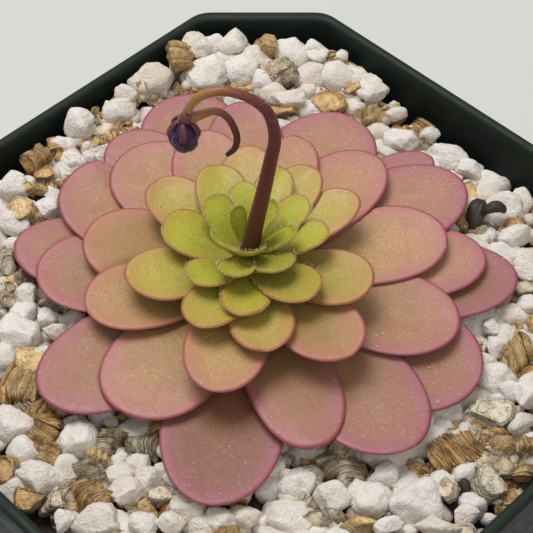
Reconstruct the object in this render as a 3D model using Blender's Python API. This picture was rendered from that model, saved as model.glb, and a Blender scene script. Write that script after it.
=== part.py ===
"""Butterwort in a square nursery pot of perlite and vermiculite, with one nodding flower bud.

Metres, +Z up. The origin is the centre of the pot's base, and the pot's sides lie along X and Y.
The plant and the grains are laid out in millimetres as seen from the pot's front corner: the first
number runs to the right, the second away from the corner.
"""

import math
import random

import bmesh
import bpy
from mathutils import Matrix, Vector

MM = 0.001
FRONT_TURN = math.radians(45)
GAP = 0.3
SEED = 11

# Pot
POT_SIDE = 82.5
POT_HEIGHT = 76.0
POT_FOOT_SIDE = 61.0
POT_WALL = 0.9
POT_FLOOR = 1.8
CORNER_CUT_SHARE = 0.15
CORNER_EASE = 1.6
BAND_PROUD = 0.6
BAND_DEEP = 6.0
DRAIN_RADIUS = 3.4
DRAIN_PLACE = 18.0

# Potting mix
MIX_TOP = 69.0
GRAIN_ROOT = 68.2
GRAIN_TOP = 72.3
LEAST_TALL = 1.6
LEAF_CLEAR = 0.45
BARE_REACH = 16.0
FILL_TRIES = 6000
FILL_SIZES = (5.5, 4.2, 3.2, 2.5)
FILL_SPREAD = 56.0
VERMICULITE_SHARE = 0.3
CLOSEST = 0.41
GRAIN_SWELL = (0.95, 1.12)
# The mix is heaped towards the back and left: how high, and from where to where.
HEAP_RISE = 4.5
HEAP_START = 14.0
HEAP_RUN = 26.0
HEAP_BACK = 0.9
HEAP_LEFT = 0.42
HEAP_CELLS = 10
ROOT_HOLE_RADIUS = 6.0
ROOT_HOLE_FOOT = 46.0

# Each grain that shows: its kind, place, width, depth and how far it stands above the others.
# p is perlite, v is golden vermiculite and g is grey vermiculite.
GRAINS = (
    ("p", -29.5, 24.5, 4, 4.5, 1.5), ("p", -24.5, 24, 6, 6.5, 0.5), ("v", -26, 28, 3, 2.5, 0),
    ("g", -20.5, 29, 6.5, 6, 1), ("g", -16, 34.5, 7, 6, 2), ("g", -12.5, 36, 2.5, 3.5, 1),
    ("p", -12, 33.5, 2.5, 2, 0), ("v", -11, 40, 4, 4.5, 1), ("p", -9, 42, 3.5, 3.5, 1),
    ("p", -7, 38.5, 6, 5.5, 0), ("p", -3, 43.5, 5, 5, 0.5), ("p", -2.5, 39, 5, 5, 0),
    ("g", 2.5, 39, 6.5, 5.5, 0.5), ("p", 8, 41, 7.5, 6, 0.5), ("p", 3.5, 34, 4.5, 2.5, 0),
    ("v", 9, 34.5, 5, 4.5, 0), ("p", 14.5, 37, 4, 4, 0), ("v", 14, 33.5, 6.5, 2.5, 0),
    ("v", 18.5, 33.5, 5, 5, 0.5), ("v", 22.5, 32, 3, 3, 0), ("v", 25.5, 31, 3.5, 3.5, 0),
    ("v", 3, 33, 5, 2.5, 0), ("p", 18, 29, 4.5, 3.5, 0), ("p", 24, 26, 5.5, 4, 0.3),
    ("p", 27, 24, 3, 3, 0), ("p", 29.5, 25.5, 3.5, 4, 0), ("g", 31.5, 21.5, 3.5, 3, 0),
    ("p", 31, 17.5, 6, 4, 0.3), ("p", 34, 18.5, 3, 3, 0), ("v", 35, 24.5, 3, 3.5, 0),
    ("p", 32, 12.5, 5, 2.5, 0), ("p", 32.5, 7, 3.5, 3, 0), ("g", 32, 3.5, 3, 2, 0),
    ("p", 30.5, 0, 4.5, 2.5, 0), ("p", 27.5, -2, 2.5, 2.5, 0), ("v", 30, -6.5, 4, 6, 0.8),
    ("p", 27.5, -5.5, 2.5, 2.5, 0), ("p", 27.5, -9.5, 5.5, 3.5, 0), ("g", 26, -14.5, 6, 4.5, 0.5),
    ("p", 30.5, -12.5, 3, 3.5, 0), ("p", 29.5, -16.5, 3, 2, 0), ("v", 22, -20, 7, 5, 0.8),
    ("v", 27, -19.5, 3, 2.5, 0), ("v", 30, -19.5, 2.5, 2, 0), ("p", 27.5, -23.5, 5, 4.5, 0.3),
    ("g", 24, -27.5, 6.5, 5, 0.8), ("p", 17, -26.5, 6, 5, 0.5), ("g", 20.5, -25.5, 2.5, 2.5, 0),
    ("p", 16.5, -19, 5.5, 4, -0.5), ("p", 12, -26.5, 4.5, 4, 0), ("p", 8, -26, 4, 3.5, 0),
    ("p", 4, -24, 4.5, 3.5, 0), ("g", 7.5, -21.5, 4, 3, -0.5), ("p", 2.5, -28.5, 5.5, 4.5, 0),
    ("g", 7, -28.5, 5, 2.5, 0), ("p", -2, -28.5, 3.5, 2.5, 0), ("p", -4.5, -29, 4, 2.5, 0),
    ("p", -8, -27, 4.5, 3, 0), ("g", -11.5, -25.5, 3.5, 2, 0), ("p", -15, -25.5, 3.5, 3.5, 0),
    ("p", -13, -29.5, 3, 3, 0), ("p", -10, -29.5, 3, 2.5, 0), ("p", -18, -29.5, 6.5, 3.5, 0.4),
    ("v", -19, -26, 5, 3.5, 0), ("g", -19.5, -22.5, 5, 3, 0), ("p", -24.5, -23.5, 5.5, 4, 0.3),
    ("v", -28.5, -22, 3.5, 4.5, 0), ("v", -24.5, -17.5, 4, 5.5, 0.4), ("p", -20.5, -18.5, 4.5, 4.5, 0),
    ("g", -17, -18.5, 4.5, 4, 0), ("g", -13.5, -19, 4, 3, -0.5), ("p", -12.5, -23, 4, 3, 0),
    ("p", -28.5, -16, 5, 4.5, 0), ("v", -28, -10.5, 5.5, 5, 0.3), ("g", -27.5, -14.5, 3.5, 2.5, -0.3),
    ("p", -28.5, -3, 5.5, 4, 0), ("p", -26, -1, 2.5, 2.5, -0.3), ("p", -24.5, -3, 3, 2, -0.3),
    ("p", -28.5, 3, 2.5, 3, 0), ("g", -31, 2, 2.5, 2.5, 0), ("g", -25.5, 1.5, 3.5, 2.5, -0.5),
    ("g", -32, 8.5, 3.5, 4.5, 0), ("p", -31.5, 13, 4, 3, 0), ("v", -29.5, 14.5, 4.5, 3.5, 0),
    ("p", -27, 15.5, 3, 3, 0), ("g", -31, 19, 6.5, 4, 0.2), ("v", -29, 22.5, 4, 3.5, 0),
    ("v", -32, 22.5, 3, 3, 0), ("p", -20.5, 25, 4, 2, -0.3), ("v", -28.5, 18, 4, 1.5, 0),
    ("v", -27.5, -27, 4, 3, 0), ("g", -25, -27.5, 3, 2.5, 0), ("g", -23, -27, 3, 2.5, 0),
    ("v", -23.5, -30.5, 2.5, 2, 0), ("p", -27, -31, 3.5, 3, 0), ("p", -21.5, -29.5, 2, 2.5, 0),
    ("p", 13.5, -30, 3, 2, 0), ("v", 10.5, -30, 4.5, 2, 0), ("p", 19, -30, 4.5, 2.5, 0),
)

# Rosette: the crown's axis stands a little behind and left of the pot's centre.
CROWN = (-1.9, 3.6)
BLADE = 0.65
LEAF_ROOT = 1.0
WIDEST = 0.64
NECK = 0.42
TIP_SQUARE = 0.985
CLIMB = 0.05

# Each leaf: direction in degrees, reach, width, and the height of its tip, lowest leaf first.
OUTER_LEAVES = (
    (263.5, 32.4, 14.0, 72.8), (0.5, 32.8, 13.0, 72.6), (107, 31.7, 15.0, 74.6),
    (219, 29.4, 13.8, 73.4), (170, 28.9, 12.0, 73.6), (64, 30.0, 14.5, 74.0),
    (328.5, 31.0, 16.6, 73.0), (41, 31.0, 8.8, 73.4), (91, 29.0, 10.5, 74.8),
    (126, 28.0, 12.0, 74.9), (30.5, 31.4, 13.5, 73.7), (6, 29.3, 12.2, 73.6),
    (145.5, 27.2, 15.0, 74.8), (306.5, 31.3, 14.2, 73.6), (236, 25.0, 13.8, 74.2),
    (180, 25.3, 13.5, 74.4), (287.5, 26.8, 10.6, 74.2), (339.5, 26.4, 13.0, 74.4),
    (49, 24.8, 10.8, 75.1), (127, 24.6, 13.6, 75.4), (106, 23.3, 9.8, 75.8),
    (72, 22.0, 8.2, 76.0), (13, 25.0, 12.2, 74.9), (167, 20.2, 12.3, 75.7),
    (201, 20.0, 10.8, 75.7),
)
INNER_LEAVES = (
    (261, 20.8, 9.6, 77.2), (89.5, 16.9, 7.5, 78.2), (307, 19.9, 9.8, 77.8),
    (137.5, 15.6, 8.0, 78.4), (200.5, 14.9, 8.5, 78.2), (57, 15.0, 6.3, 78.9),
    (30.5, 15.6, 6.9, 78.9), (109.5, 12.8, 6.6, 79.6), (279, 16.1, 7.8, 78.6),
    (335.5, 16.0, 9.0, 78.6), (167, 10.2, 6.8, 79.8), (69, 12.2, 5.0, 80.0),
    (247.5, 14.0, 7.0, 79.2), (93, 8.2, 4.2, 80.8), (35.5, 9.0, 4.6, 80.8),
    (1, 9.8, 5.0, 80.8), (129, 7.1, 4.4, 80.9), (270, 11.9, 6.0, 79.8),
    (309, 12.2, 6.8, 80.2), (229, 9.4, 5.4, 80.2),
)
HEART_LEAVES = (
    (258, 7.9, 4.4, 81.6), (307, 7.9, 4.9, 81.4), (47, 5.1, 2.7, 81.9),
    (346, 6.0, 3.6, 81.9), (213, 4.5, 3.2, 82.1), (114, 2.9, 2.2, 82.2),
    (277.5, 4.8, 3.8, 82.5), (354, 3.6, 1.9, 82.7),
)
# Each whorl: its leaves, the height of its lowest leaf base, how late its leaves rise, how far
# their edges turn up, rows of faces along a leaf, and its piece of stem as radius, foot and top.
WHORLS = {
    "outer_leaves": (OUTER_LEAVES, 73.2, 1.2, 0.3, 6, (4.5, 70.4, 74.6)),
    "inner_leaves": (INNER_LEAVES, 76.2, 1.35, 0.6, 5, (3.4, 75.0, 77.5)),
    "heart_leaves": (HEART_LEAVES, 78.85, 1.8, 0.8, 4, (2.4, 78.3, 80.25)),
}
STALK_HOLE_RADIUS = 1.4

# Flower stalk, in the plane that faces the front corner: right, height, radius.
STALK_DEPTH = 3.3
STALK_ROUTE = (
    (-1.8, 77.85, 1.05), (-1.3, 79.6, 1.05), (-0.7, 83.5, 0.97), (0.0, 87.4, 0.9), (0.9, 93.1, 0.8),
    (1.4, 97.0, 0.72), (0.7, 100.7, 0.65), (-1.3, 102.9, 0.58), (-3.9, 103.9, 0.53),
    (-6.0, 103.5, 0.52), (-7.4, 102.3, 0.5), (-8.0, 101.0, 0.5),
)
SPUR_ROUTE = (
    (-6.75, 100.35, 0.42), (-5.0, 101.0, 0.42), (-3.6, 99.9, 0.42), (-2.75, 97.3, 0.4),
    (-3.0, 95.4, 0.36), (-3.9, 94.3, 0.26),
)
BUD_CENTRE = (-8.5, 97.3)
BUD_RADIUS = 1.75
BUD_STRETCH = 1.2
BUD_LOBES = 5
BUD_LOBE_DEPTH = 0.05
CALYX_RADIUS = 0.8
CALYX_CENTRE = (-8.15, 100.05)
SEPALS = 5
SEPAL_BLADE = 0.6
SEPAL_CLEAR = 0.3
SEPAL_REACH = math.radians(70)
SEPAL_START = math.radians(12)
SEPAL_SPREAD = math.radians(15)

# Roots: direction in degrees, distance of the tip from the crown's axis, height of the tip.
ROOTS = (
    (20, 5.25, 52.0), (85, 4.6, 46.4), (140, 5.2, 55.0),
    (205, 4.8, 48.5), (265, 5.25, 50.0), (325, 3.9, 46.4),
)
ROOT_RADIUS = 0.42
ROOT_STEM = (2.6, 65.5, 70.1)


def material(name, colour, roughness):
    """A Principled material of one colour."""
    made = bpy.data.materials.new(name)
    made.use_nodes = True
    shader = made.node_tree.nodes["Principled BSDF"]
    shader.inputs["Base Color"].default_value = (*colour, 1.0)
    shader.inputs["Roughness"].default_value = roughness
    shader.inputs["Metallic"].default_value = 0.0
    return made


def from_front(right, away, height):
    """A place seen from the pot's front corner, in metres on the pot's own axes."""
    turned = Matrix.Rotation(FRONT_TURN, 3, "Z") @ Vector((right, away, height))
    return turned * MM


def add_object(name, mesh_data, collection, finish=None):
    """Puts a mesh or curve in the scene as a named object."""
    made = bpy.data.objects.new(name, mesh_data)
    collection.objects.link(made)
    if finish:
        mesh_data.materials.append(finish)
    return made


def to_mesh(bm, name):
    """A mesh from a bmesh, with its faces pointing out."""
    bmesh.ops.recalc_face_normals(bm, faces=bm.faces)
    mesh_data = bpy.data.meshes.new(name)
    bm.to_mesh(mesh_data)
    bm.free()
    return mesh_data


def boolean(target, operand, operation, solver="EXACT"):
    """Applies a Boolean with one object, or with all the objects of a collection."""
    modifier = target.modifiers.new("join", "BOOLEAN")
    modifier.operation = operation
    modifier.solver = solver
    if isinstance(operand, bpy.types.Collection):
        modifier.operand_type = "COLLECTION"
        modifier.collection = operand
    else:
        modifier.object = operand
    bpy.context.view_layer.update()
    evaluated = target.evaluated_get(bpy.context.evaluated_depsgraph_get())
    joined = bpy.data.meshes.new_from_object(evaluated)
    target.modifiers.clear()
    target.data = joined


def empty_out(collection):
    """Removes a helper collection with its objects."""
    for helper in list(collection.objects):
        bpy.data.objects.remove(helper)
    bpy.data.collections.remove(collection)


def helper_collection(name):
    """A collection for pieces that are about to be fused."""
    made = bpy.data.collections.new(name)
    bpy.context.scene.collection.children.link(made)
    return made


def wall_side(height):
    """The outer side of the pot's plain wall at a height."""
    top = POT_SIDE - 2 * BAND_PROUD
    return POT_FOOT_SIDE + (top - POT_FOOT_SIDE) * height / POT_HEIGHT


def square_outline(side):
    """A square with cut and slightly eased corners, anticlockwise."""
    half = side / 2
    cut = side * CORNER_CUT_SHARE
    corners = []
    for quarter in range(4):
        turn = Matrix.Rotation(math.radians(90 * quarter), 2)
        corners.append(turn @ Vector((half, half - cut)))
        corners.append(turn @ Vector((half - cut, half)))
    outline = []
    for index, corner in enumerate(corners):
        before = (corners[index - 1] - corner).normalized()
        after = (corners[(index + 1) % len(corners)] - corner).normalized()
        outline.append(corner + before * CORNER_EASE)
        outline.append(corner + (before + after) * CORNER_EASE * 0.25)
        outline.append(corner + after * CORNER_EASE)
    return outline


def loft(name, levels):
    """A closed body through square outlines, each given as a side and a height."""
    bm = bmesh.new()
    rings = []
    for side, height in levels:
        ring = [bm.verts.new((p.x * MM, p.y * MM, height * MM)) for p in square_outline(side)]
        rings.append(ring)
    for lower, upper in zip(rings, rings[1:]):
        for index in range(len(lower)):
            bm.faces.new((lower[index - 1], lower[index], upper[index], upper[index - 1]))
    bm.faces.new(rings[0])
    bm.faces.new(rings[-1])
    return to_mesh(bm, name)


def make_pot(parts, cutters, finish):
    """The pot: tapered walls, a band round the rim and four drainage holes."""
    band_foot = POT_HEIGHT - BAND_DEEP
    lip = 0.35
    inner_top = wall_side(POT_HEIGHT) - 2 * POT_WALL
    levels = (
        (POT_FOOT_SIDE, 0), (wall_side(band_foot), band_foot),
        (wall_side(band_foot) + 2 * BAND_PROUD, band_foot + BAND_PROUD),
        (POT_SIDE, POT_HEIGHT - lip), (POT_SIDE - 2 * lip, POT_HEIGHT),
        (inner_top + 2 * lip, POT_HEIGHT), (inner_top, POT_HEIGHT - lip),
        (wall_side(POT_FLOOR) - 2 * POT_WALL, POT_FLOOR),
    )
    pot = add_object("pot", loft("pot", levels), parts, finish)
    for x in (-DRAIN_PLACE, DRAIN_PLACE):
        for y in (-DRAIN_PLACE, DRAIN_PLACE):
            bpy.ops.mesh.primitive_cylinder_add(
                vertices=20, radius=DRAIN_RADIUS * MM, depth=4 * POT_FLOOR * MM, location=(x * MM, y * MM, 0))
            drain = bpy.context.active_object
            drain.name = "drain_cutter"
            drain.hide_render = True
            drain.display_type = "WIRE"
            for home in drain.users_collection:
                home.objects.unlink(drain)
            cutters.objects.link(drain)
            cut = pot.modifiers.new("drain", "BOOLEAN")
            cut.operation = "DIFFERENCE"
            cut.object = drain


def heap(right, away):
    """How far the mix stands above its level at the front."""
    share = (HEAP_BACK * away - HEAP_LEFT * right - HEAP_START) / HEAP_RUN
    share = min(max(share, 0.0), 1.0)
    return HEAP_RISE * share * share * (3 - 2 * share)


def inside_pot(right, away, margin):
    """Whether a place at the grains' level is clear of the pot's wall by a margin."""
    place = from_front(right, away, 0) / MM
    half = wall_side(MIX_TOP) / 2 - POT_WALL - GAP - margin
    corner = 2 * half - POT_SIDE * CORNER_CUT_SHARE - margin * 0.4
    return max(abs(place.x), abs(place.y)) < half and abs(place.x) + abs(place.y) < corner


def all_grains():
    """The grains that show, and a seeded fill of smaller ones wherever there is room."""
    rng = random.Random(SEED)
    grains = [row for row in GRAINS if inside_pot(row[1], row[2], max(row[3], row[4]) / 2)]
    for size in FILL_SIZES:
        for _ in range(FILL_TRIES // len(FILL_SIZES)):
            right = rng.uniform(-FILL_SPREAD, FILL_SPREAD)
            away = rng.uniform(-FILL_SPREAD, FILL_SPREAD)
            wide, deep = size * rng.uniform(0.85, 1.2), size * rng.uniform(0.7, 1.0)
            kind = "p" if rng.random() > VERMICULITE_SHARE else rng.choice("vg")
            if not inside_pot(right, away, wide / 2 + GAP):
                continue
            if math.dist((right, away), CROWN) < BARE_REACH + wide / 2:
                continue
            if any(math.dist((right, away), row[1:3]) < CLOSEST * (wide + deep + row[3] + row[4]) / 2 + 0.6
                   for row in grains):
                continue
            grains.append((kind, right, away, wide, deep, rng.uniform(-0.4, 0.3)))
    return grains


def headroom(right, away, reach):
    """The lowest that a leaf hangs over a grain, or infinity where none does."""
    _, base, late, _, _, _ = WHORLS["outer_leaves"]
    places = [(right, away)]
    for eighth in range(8):
        turn = math.tau * eighth / 8
        places.append((right + reach * math.cos(turn), away + reach * math.sin(turn)))
    lowest = math.inf
    for index, (direction, length, width, tip) in enumerate(OUTER_LEAVES):
        turn = Matrix.Rotation(-math.radians(direction), 2)
        for place in places:
            out, side = turn @ (Vector(place) - Vector(CROWN))
            along = (out - LEAF_ROOT) / (length - LEAF_ROOT)
            if 0 < along < 1.02 and abs(side) < half_width(along) * width / 2 + LEAF_CLEAR:
                level = leaf_height(min(along, 1.0), base + CLIMB * index, tip, late)
                lowest = min(lowest, level - BLADE - LEAF_CLEAR)
    return lowest


def make_grain(row, rng, collection):
    """One grain: perlite as a rounded stone, vermiculite as a block, its root in the mix below."""
    kind, right, away, wide, deep, stand = row
    root = GRAIN_ROOT + heap(right, away)
    top = min(GRAIN_TOP + heap(right, away) + stand, headroom(right, away, 0.6 * max(wide, deep)))
    if top - root < LEAST_TALL:
        return
    bm = bmesh.new()
    if kind == "p":
        bmesh.ops.create_icosphere(bm, subdivisions=1, radius=0.5)
        axis = Vector((rng.random(), rng.random(), 0.4)).normalized()
        spin = Matrix.Rotation(rng.uniform(0, math.tau), 4, axis)
        bmesh.ops.transform(bm, matrix=spin, verts=bm.verts)
        for vert in bm.verts:
            vert.co *= rng.uniform(*GRAIN_SWELL)
    else:
        bmesh.ops.create_cube(bm, size=0.86)
        tilt = Matrix.Rotation(rng.uniform(-0.25, 0.25), 4, "X")
        tilt = tilt @ Matrix.Rotation(rng.uniform(-0.25, 0.25), 4, "Y")
        bmesh.ops.transform(bm, matrix=tilt, verts=bm.verts)
        for vert in bm.verts:
            vert.co.xy *= rng.uniform(0.85, 1.15)
    high = max(vert.co.z for vert in bm.verts)
    low = min(vert.co.z for vert in bm.verts)
    turn = Matrix.Rotation(rng.uniform(-0.35, 0.35), 3, "Z")
    for vert in bm.verts:
        shaped = turn @ Vector((vert.co.x * wide, vert.co.y * deep, 0))
        height = root + (top - root) * (vert.co.z - low) / (high - low)
        vert.co = from_front(right + shaped.x, away + shaped.y, height)
    add_object("grain", to_mesh(bm, "grain"), collection)


def make_heap(side, collection):
    """The rise of the mix towards the back of the pot, on top of its level body."""
    bm = bmesh.new()
    bmesh.ops.create_grid(bm, x_segments=HEAP_CELLS, y_segments=HEAP_CELLS, size=side / 2 * MM)
    corner = side * (1 - CORNER_CUT_SHARE) / 2 - GAP
    for x in (-1, 1):
        for y in (-1, 1):
            everything = bm.verts[:] + bm.edges[:] + bm.faces[:]
            bmesh.ops.bisect_plane(bm, geom=everything, plane_co=(x * corner * MM, y * corner * MM, 0),
                                   plane_no=(x, y, 0), clear_outer=True)
    lower = bmesh.ops.extrude_face_region(bm, geom=bm.faces[:])["geom"]
    under = {item for item in lower if isinstance(item, bmesh.types.BMVert)}
    back = Matrix.Rotation(-FRONT_TURN, 3, "Z")
    for vert in bm.verts:
        place = back @ vert.co / MM
        vert.co.z = (MIX_TOP - 1.0 if vert in under else MIX_TOP + 0.15 + heap(place.x, place.y)) * MM
    add_object("heap", to_mesh(bm, "heap"), collection)


def make_mix(parts, finish):
    """The potting mix: a body that fills the pot, its surface of grains and a plain hole for the roots."""
    inset = 2 * (POT_WALL + GAP + 0.05)
    foot = POT_FLOOR + GAP
    top_side = wall_side(MIX_TOP) - inset
    levels = ((wall_side(foot) - inset, foot), (top_side, MIX_TOP))
    mix = add_object("potting_mix", loft("potting_mix", levels), parts)
    loose = helper_collection("loose_grains")
    make_heap(top_side - GAP, loose)
    rng = random.Random(SEED + 1)
    for row in all_grains():
        make_grain(row, rng, loose)
    boolean(mix, loose, "UNION")
    empty_out(loose)
    bm = bmesh.new()
    depth = POT_HEIGHT - ROOT_HOLE_FOOT
    bmesh.ops.create_cone(bm, cap_ends=True, segments=20, radius1=ROOT_HOLE_RADIUS * MM,
                          radius2=ROOT_HOLE_RADIUS * MM, depth=depth * MM,
                          matrix=Matrix.Translation(from_front(*CROWN, ROOT_HOLE_FOOT + depth / 2)))
    hole = add_object("root_hole", to_mesh(bm, "root_hole"), parts)
    boolean(mix, hole, "DIFFERENCE")
    bpy.data.objects.remove(hole)
    mix.data.materials.clear()
    mix.data.materials.append(finish)


def half_width(along):
    """A leaf's half width at a share of its length: a neck, a wide spoon and a round end."""
    along = min(along, TIP_SQUARE)
    if along > WIDEST:
        return math.sqrt(1 - ((along - WIDEST) / (1 - WIDEST)) ** 2.3)
    return NECK + (1 - NECK) * math.sin(math.pi / 2 * along / WIDEST) ** 1.5


def leaf_height(along, base, tip, late):
    """The height of a leaf's middle line at a share of its length."""
    return base + (tip - base) * math.sin(math.pi / 2 * along) ** late


def make_leaf(leaf, base, late, edge_rise, rows, collection):
    """One spoon-shaped leaf blade, rising or drooping from the crown to its tip."""
    direction, reach, width, tip = leaf
    turn = Matrix.Rotation(math.radians(direction), 3, "Z")
    bm = bmesh.new()
    bmesh.ops.create_grid(bm, x_segments=rows, y_segments=2, size=1.0)
    for vert in bm.verts:
        step, side = (vert.co.x + 1) / 2, vert.co.y
        along = 1 - (1 - step) ** 1.5
        out = LEAF_ROOT + (reach - LEAF_ROOT) * along - 0.03 * reach * along ** 4 * abs(side)
        height = leaf_height(along, base, tip, late) + edge_rise * side ** 2 * along
        place = turn @ Vector((out, side * half_width(along) * width / 2, 0))
        vert.co = from_front(CROWN[0] + place.x, CROWN[1] + place.y, height)
    bmesh.ops.triangulate(bm, faces=bm.faces)
    bmesh.ops.recalc_face_normals(bm, faces=bm.faces)
    bmesh.ops.solidify(bm, geom=bm.faces, thickness=BLADE * MM)
    add_object("leaf", to_mesh(bm, "leaf"), collection)


def make_whorl(name, parts, finish):
    """One whorl: its leaves fused to their piece of the crown's short stem."""
    leaves, base, late, edge_rise, rows, (radius, foot, top) = WHORLS[name]
    bm = bmesh.new()
    middle = Matrix.Translation(from_front(*CROWN, (top + foot) / 2))
    bmesh.ops.create_cone(bm, cap_ends=True, segments=20, radius1=radius * MM, radius2=radius * MM,
                          depth=(top - foot) * MM, matrix=middle)
    whorl = add_object(name, to_mesh(bm, name), parts)
    loose = helper_collection("loose_leaves")
    for index, leaf in enumerate(leaves):
        make_leaf(leaf, base + CLIMB * index, late, edge_rise, rows, loose)
    boolean(whorl, loose, "UNION", "MANIFOLD")
    empty_out(loose)
    whorl.data.materials.clear()
    whorl.data.materials.append(finish)
    return whorl


def bore_for_stalk(whorl, parts):
    """A plain hole through the heart, where the flower stalk stands."""
    bm = bmesh.new()
    foot = from_front(STALK_ROUTE[0][0], STALK_DEPTH, STALK_ROUTE[0][1])
    top = from_front(STALK_ROUTE[1][0], STALK_DEPTH, STALK_ROUTE[1][1])
    lean = (top - foot).normalized()
    middle = Matrix.Translation(top) @ lean.to_track_quat("Z", "Y").to_matrix().to_4x4()
    bmesh.ops.create_cone(bm, cap_ends=True, segments=16, radius1=STALK_HOLE_RADIUS * MM,
                          radius2=STALK_HOLE_RADIUS * MM, depth=9 * MM, matrix=middle)
    hole = add_object("stalk_hole", to_mesh(bm, "stalk_hole"), parts)
    boolean(whorl, hole, "DIFFERENCE", "MANIFOLD")
    bpy.data.objects.remove(hole)


def tube(name, route, steps, parts, finish):
    """A tapering tube through a route in the stalk's plane."""
    curve = bpy.data.curves.new(name, "CURVE")
    curve.dimensions = "3D"
    curve.resolution_u = steps
    curve.bevel_depth = MM
    curve.bevel_resolution = 2
    curve.use_fill_caps = True
    spline = curve.splines.new("BEZIER")
    spline.bezier_points.add(len(route) - 1)
    for point, (right, height, radius) in zip(spline.bezier_points, route):
        point.co = from_front(right, STALK_DEPTH, height)
        point.radius = radius
        point.handle_left_type = point.handle_right_type = "AUTO"
    return add_object(name, curve, parts, finish)


def make_bud(parts, finish):
    """The closed flower: a ball of furled petals."""
    bm = bmesh.new()
    bmesh.ops.create_uvsphere(bm, u_segments=15, v_segments=9, radius=BUD_RADIUS)
    centre = from_front(BUD_CENTRE[0], STALK_DEPTH, BUD_CENTRE[1])
    for vert in bm.verts:
        around = math.atan2(vert.co.y, vert.co.x)
        flat = 1 + BUD_LOBE_DEPTH * math.cos(BUD_LOBES * around) * (1 - abs(vert.co.z) / BUD_RADIUS)
        vert.co = centre + Vector((vert.co.x * flat, vert.co.y * flat, vert.co.z * BUD_STRETCH)) * MM
    add_object("flower_bud", to_mesh(bm, "flower_bud"), parts, finish)


def make_calyx(parts, finish):
    """The calyx: a small cup with five sepals that lie over the bud's shoulders."""
    bm = bmesh.new()
    middle = Matrix.Translation(from_front(CALYX_CENTRE[0], STALK_DEPTH, CALYX_CENTRE[1]))
    bmesh.ops.create_icosphere(bm, subdivisions=2, radius=CALYX_RADIUS * MM, matrix=middle)
    calyx = add_object("calyx", to_mesh(bm, "calyx"), parts)
    loose = helper_collection("loose_sepals")
    centre = from_front(BUD_CENTRE[0], STALK_DEPTH, BUD_CENTRE[1])
    shell = BUD_RADIUS * (1 + BUD_LOBE_DEPTH) + SEPAL_CLEAR + SEPAL_BLADE
    for index in range(SEPALS):
        bm = bmesh.new()
        bmesh.ops.create_grid(bm, x_segments=5, y_segments=2, size=1.0)
        for vert in bm.verts:
            step, side = (vert.co.x + 1) / 2, vert.co.y
            down = SEPAL_START + (SEPAL_REACH - SEPAL_START) * step
            around = math.tau * index / SEPALS - FRONT_TURN
            around += side * SEPAL_SPREAD * math.cos(math.pi / 2 * step * 0.8) ** 0.6
            ring = shell * math.sin(down)
            vert.co = centre + Vector((ring * math.cos(around), ring * math.sin(around),
                                       shell * BUD_STRETCH * math.cos(down) + 0.15)) * MM
        bmesh.ops.triangulate(bm, faces=bm.faces)
        bmesh.ops.recalc_face_normals(bm, faces=bm.faces)
        outwards = sum((face.normal.dot(face.calc_center_median() - centre) for face in bm.faces))
        if outwards < 0:
            bmesh.ops.reverse_faces(bm, faces=bm.faces)
        bmesh.ops.solidify(bm, geom=bm.faces, thickness=SEPAL_BLADE * MM)
        add_object("sepal", to_mesh(bm, "sepal"), loose)
    boolean(calyx, loose, "UNION")
    empty_out(loose)
    calyx.data.materials.clear()
    calyx.data.materials.append(finish)


def make_roots(parts, finish):
    """The roots: a short stem under the crown with a few pale roots that go down into the mix."""
    radius, foot, top = ROOT_STEM
    bm = bmesh.new()
    middle = Matrix.Translation(from_front(*CROWN, (top + foot) / 2))
    bmesh.ops.create_cone(bm, cap_ends=True, segments=12, radius1=radius * 0.6 * MM, radius2=radius * MM,
                          depth=(top - foot) * MM, matrix=middle)
    roots = add_object("roots", to_mesh(bm, "roots"), parts)
    loose = helper_collection("loose_roots")
    for direction, spread, tip in ROOTS:
        bm = bmesh.new()
        bmesh.ops.create_cone(bm, cap_ends=True, segments=8, radius1=1.0, radius2=1.0, depth=1.0)
        everything = bm.verts[:] + bm.edges[:] + bm.faces[:]
        bmesh.ops.bisect_plane(bm, geom=everything, plane_co=(0, 0, 0), plane_no=(0, 0, 1))
        turn = Matrix.Rotation(math.radians(direction), 3, "Z")
        start = foot + 2.0
        for vert in bm.verts:
            down = 0.5 - vert.co.z
            out = 1.0 + (spread - 1.0) * math.sin(math.pi / 2 * down)
            thick = ROOT_RADIUS * (1 - 0.35 * down)
            place = turn @ Vector((out + vert.co.x * thick, vert.co.y * thick, 0))
            vert.co = from_front(CROWN[0] + place.x, CROWN[1] + place.y, start + (tip - start) * down)
        add_object("root", to_mesh(bm, "root"), loose)
    boolean(roots, loose, "UNION")
    empty_out(loose)
    roots.data.materials.clear()
    roots.data.materials.append(finish)


def main():
    """Builds the whole object."""
    for old in list(bpy.data.objects):
        bpy.data.objects.remove(old)
    parts = helper_collection("potted_butterwort")
    cutters = helper_collection("cutters")
    cutters.hide_render = True
    make_pot(parts, cutters, material("pot_plastic", (0.035, 0.055, 0.042), 0.5))
    make_mix(parts, material("mix_grains", (0.62, 0.57, 0.5), 0.95))
    make_roots(parts, material("root_white", (0.72, 0.66, 0.52), 0.8))
    make_whorl("outer_leaves", parts, material("leaf_pink", (0.55, 0.3, 0.27), 0.45))
    make_whorl("inner_leaves", parts, material("leaf_green", (0.52, 0.5, 0.13), 0.45))
    heart = make_whorl("heart_leaves", parts, material("leaf_lime", (0.5, 0.58, 0.08), 0.45))
    bore_for_stalk(heart, parts)
    tube("flower_stalk", STALK_ROUTE, 4, parts, material("stalk_maroon", (0.2, 0.06, 0.05), 0.45))
    tube("flower_spur", SPUR_ROUTE, 4, parts, material("spur_maroon", (0.13, 0.04, 0.04), 0.4))
    make_bud(parts, material("bud_violet", (0.05, 0.015, 0.09), 0.55))
    make_calyx(parts, material("calyx_maroon", (0.2, 0.07, 0.08), 0.5))


main()
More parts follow.
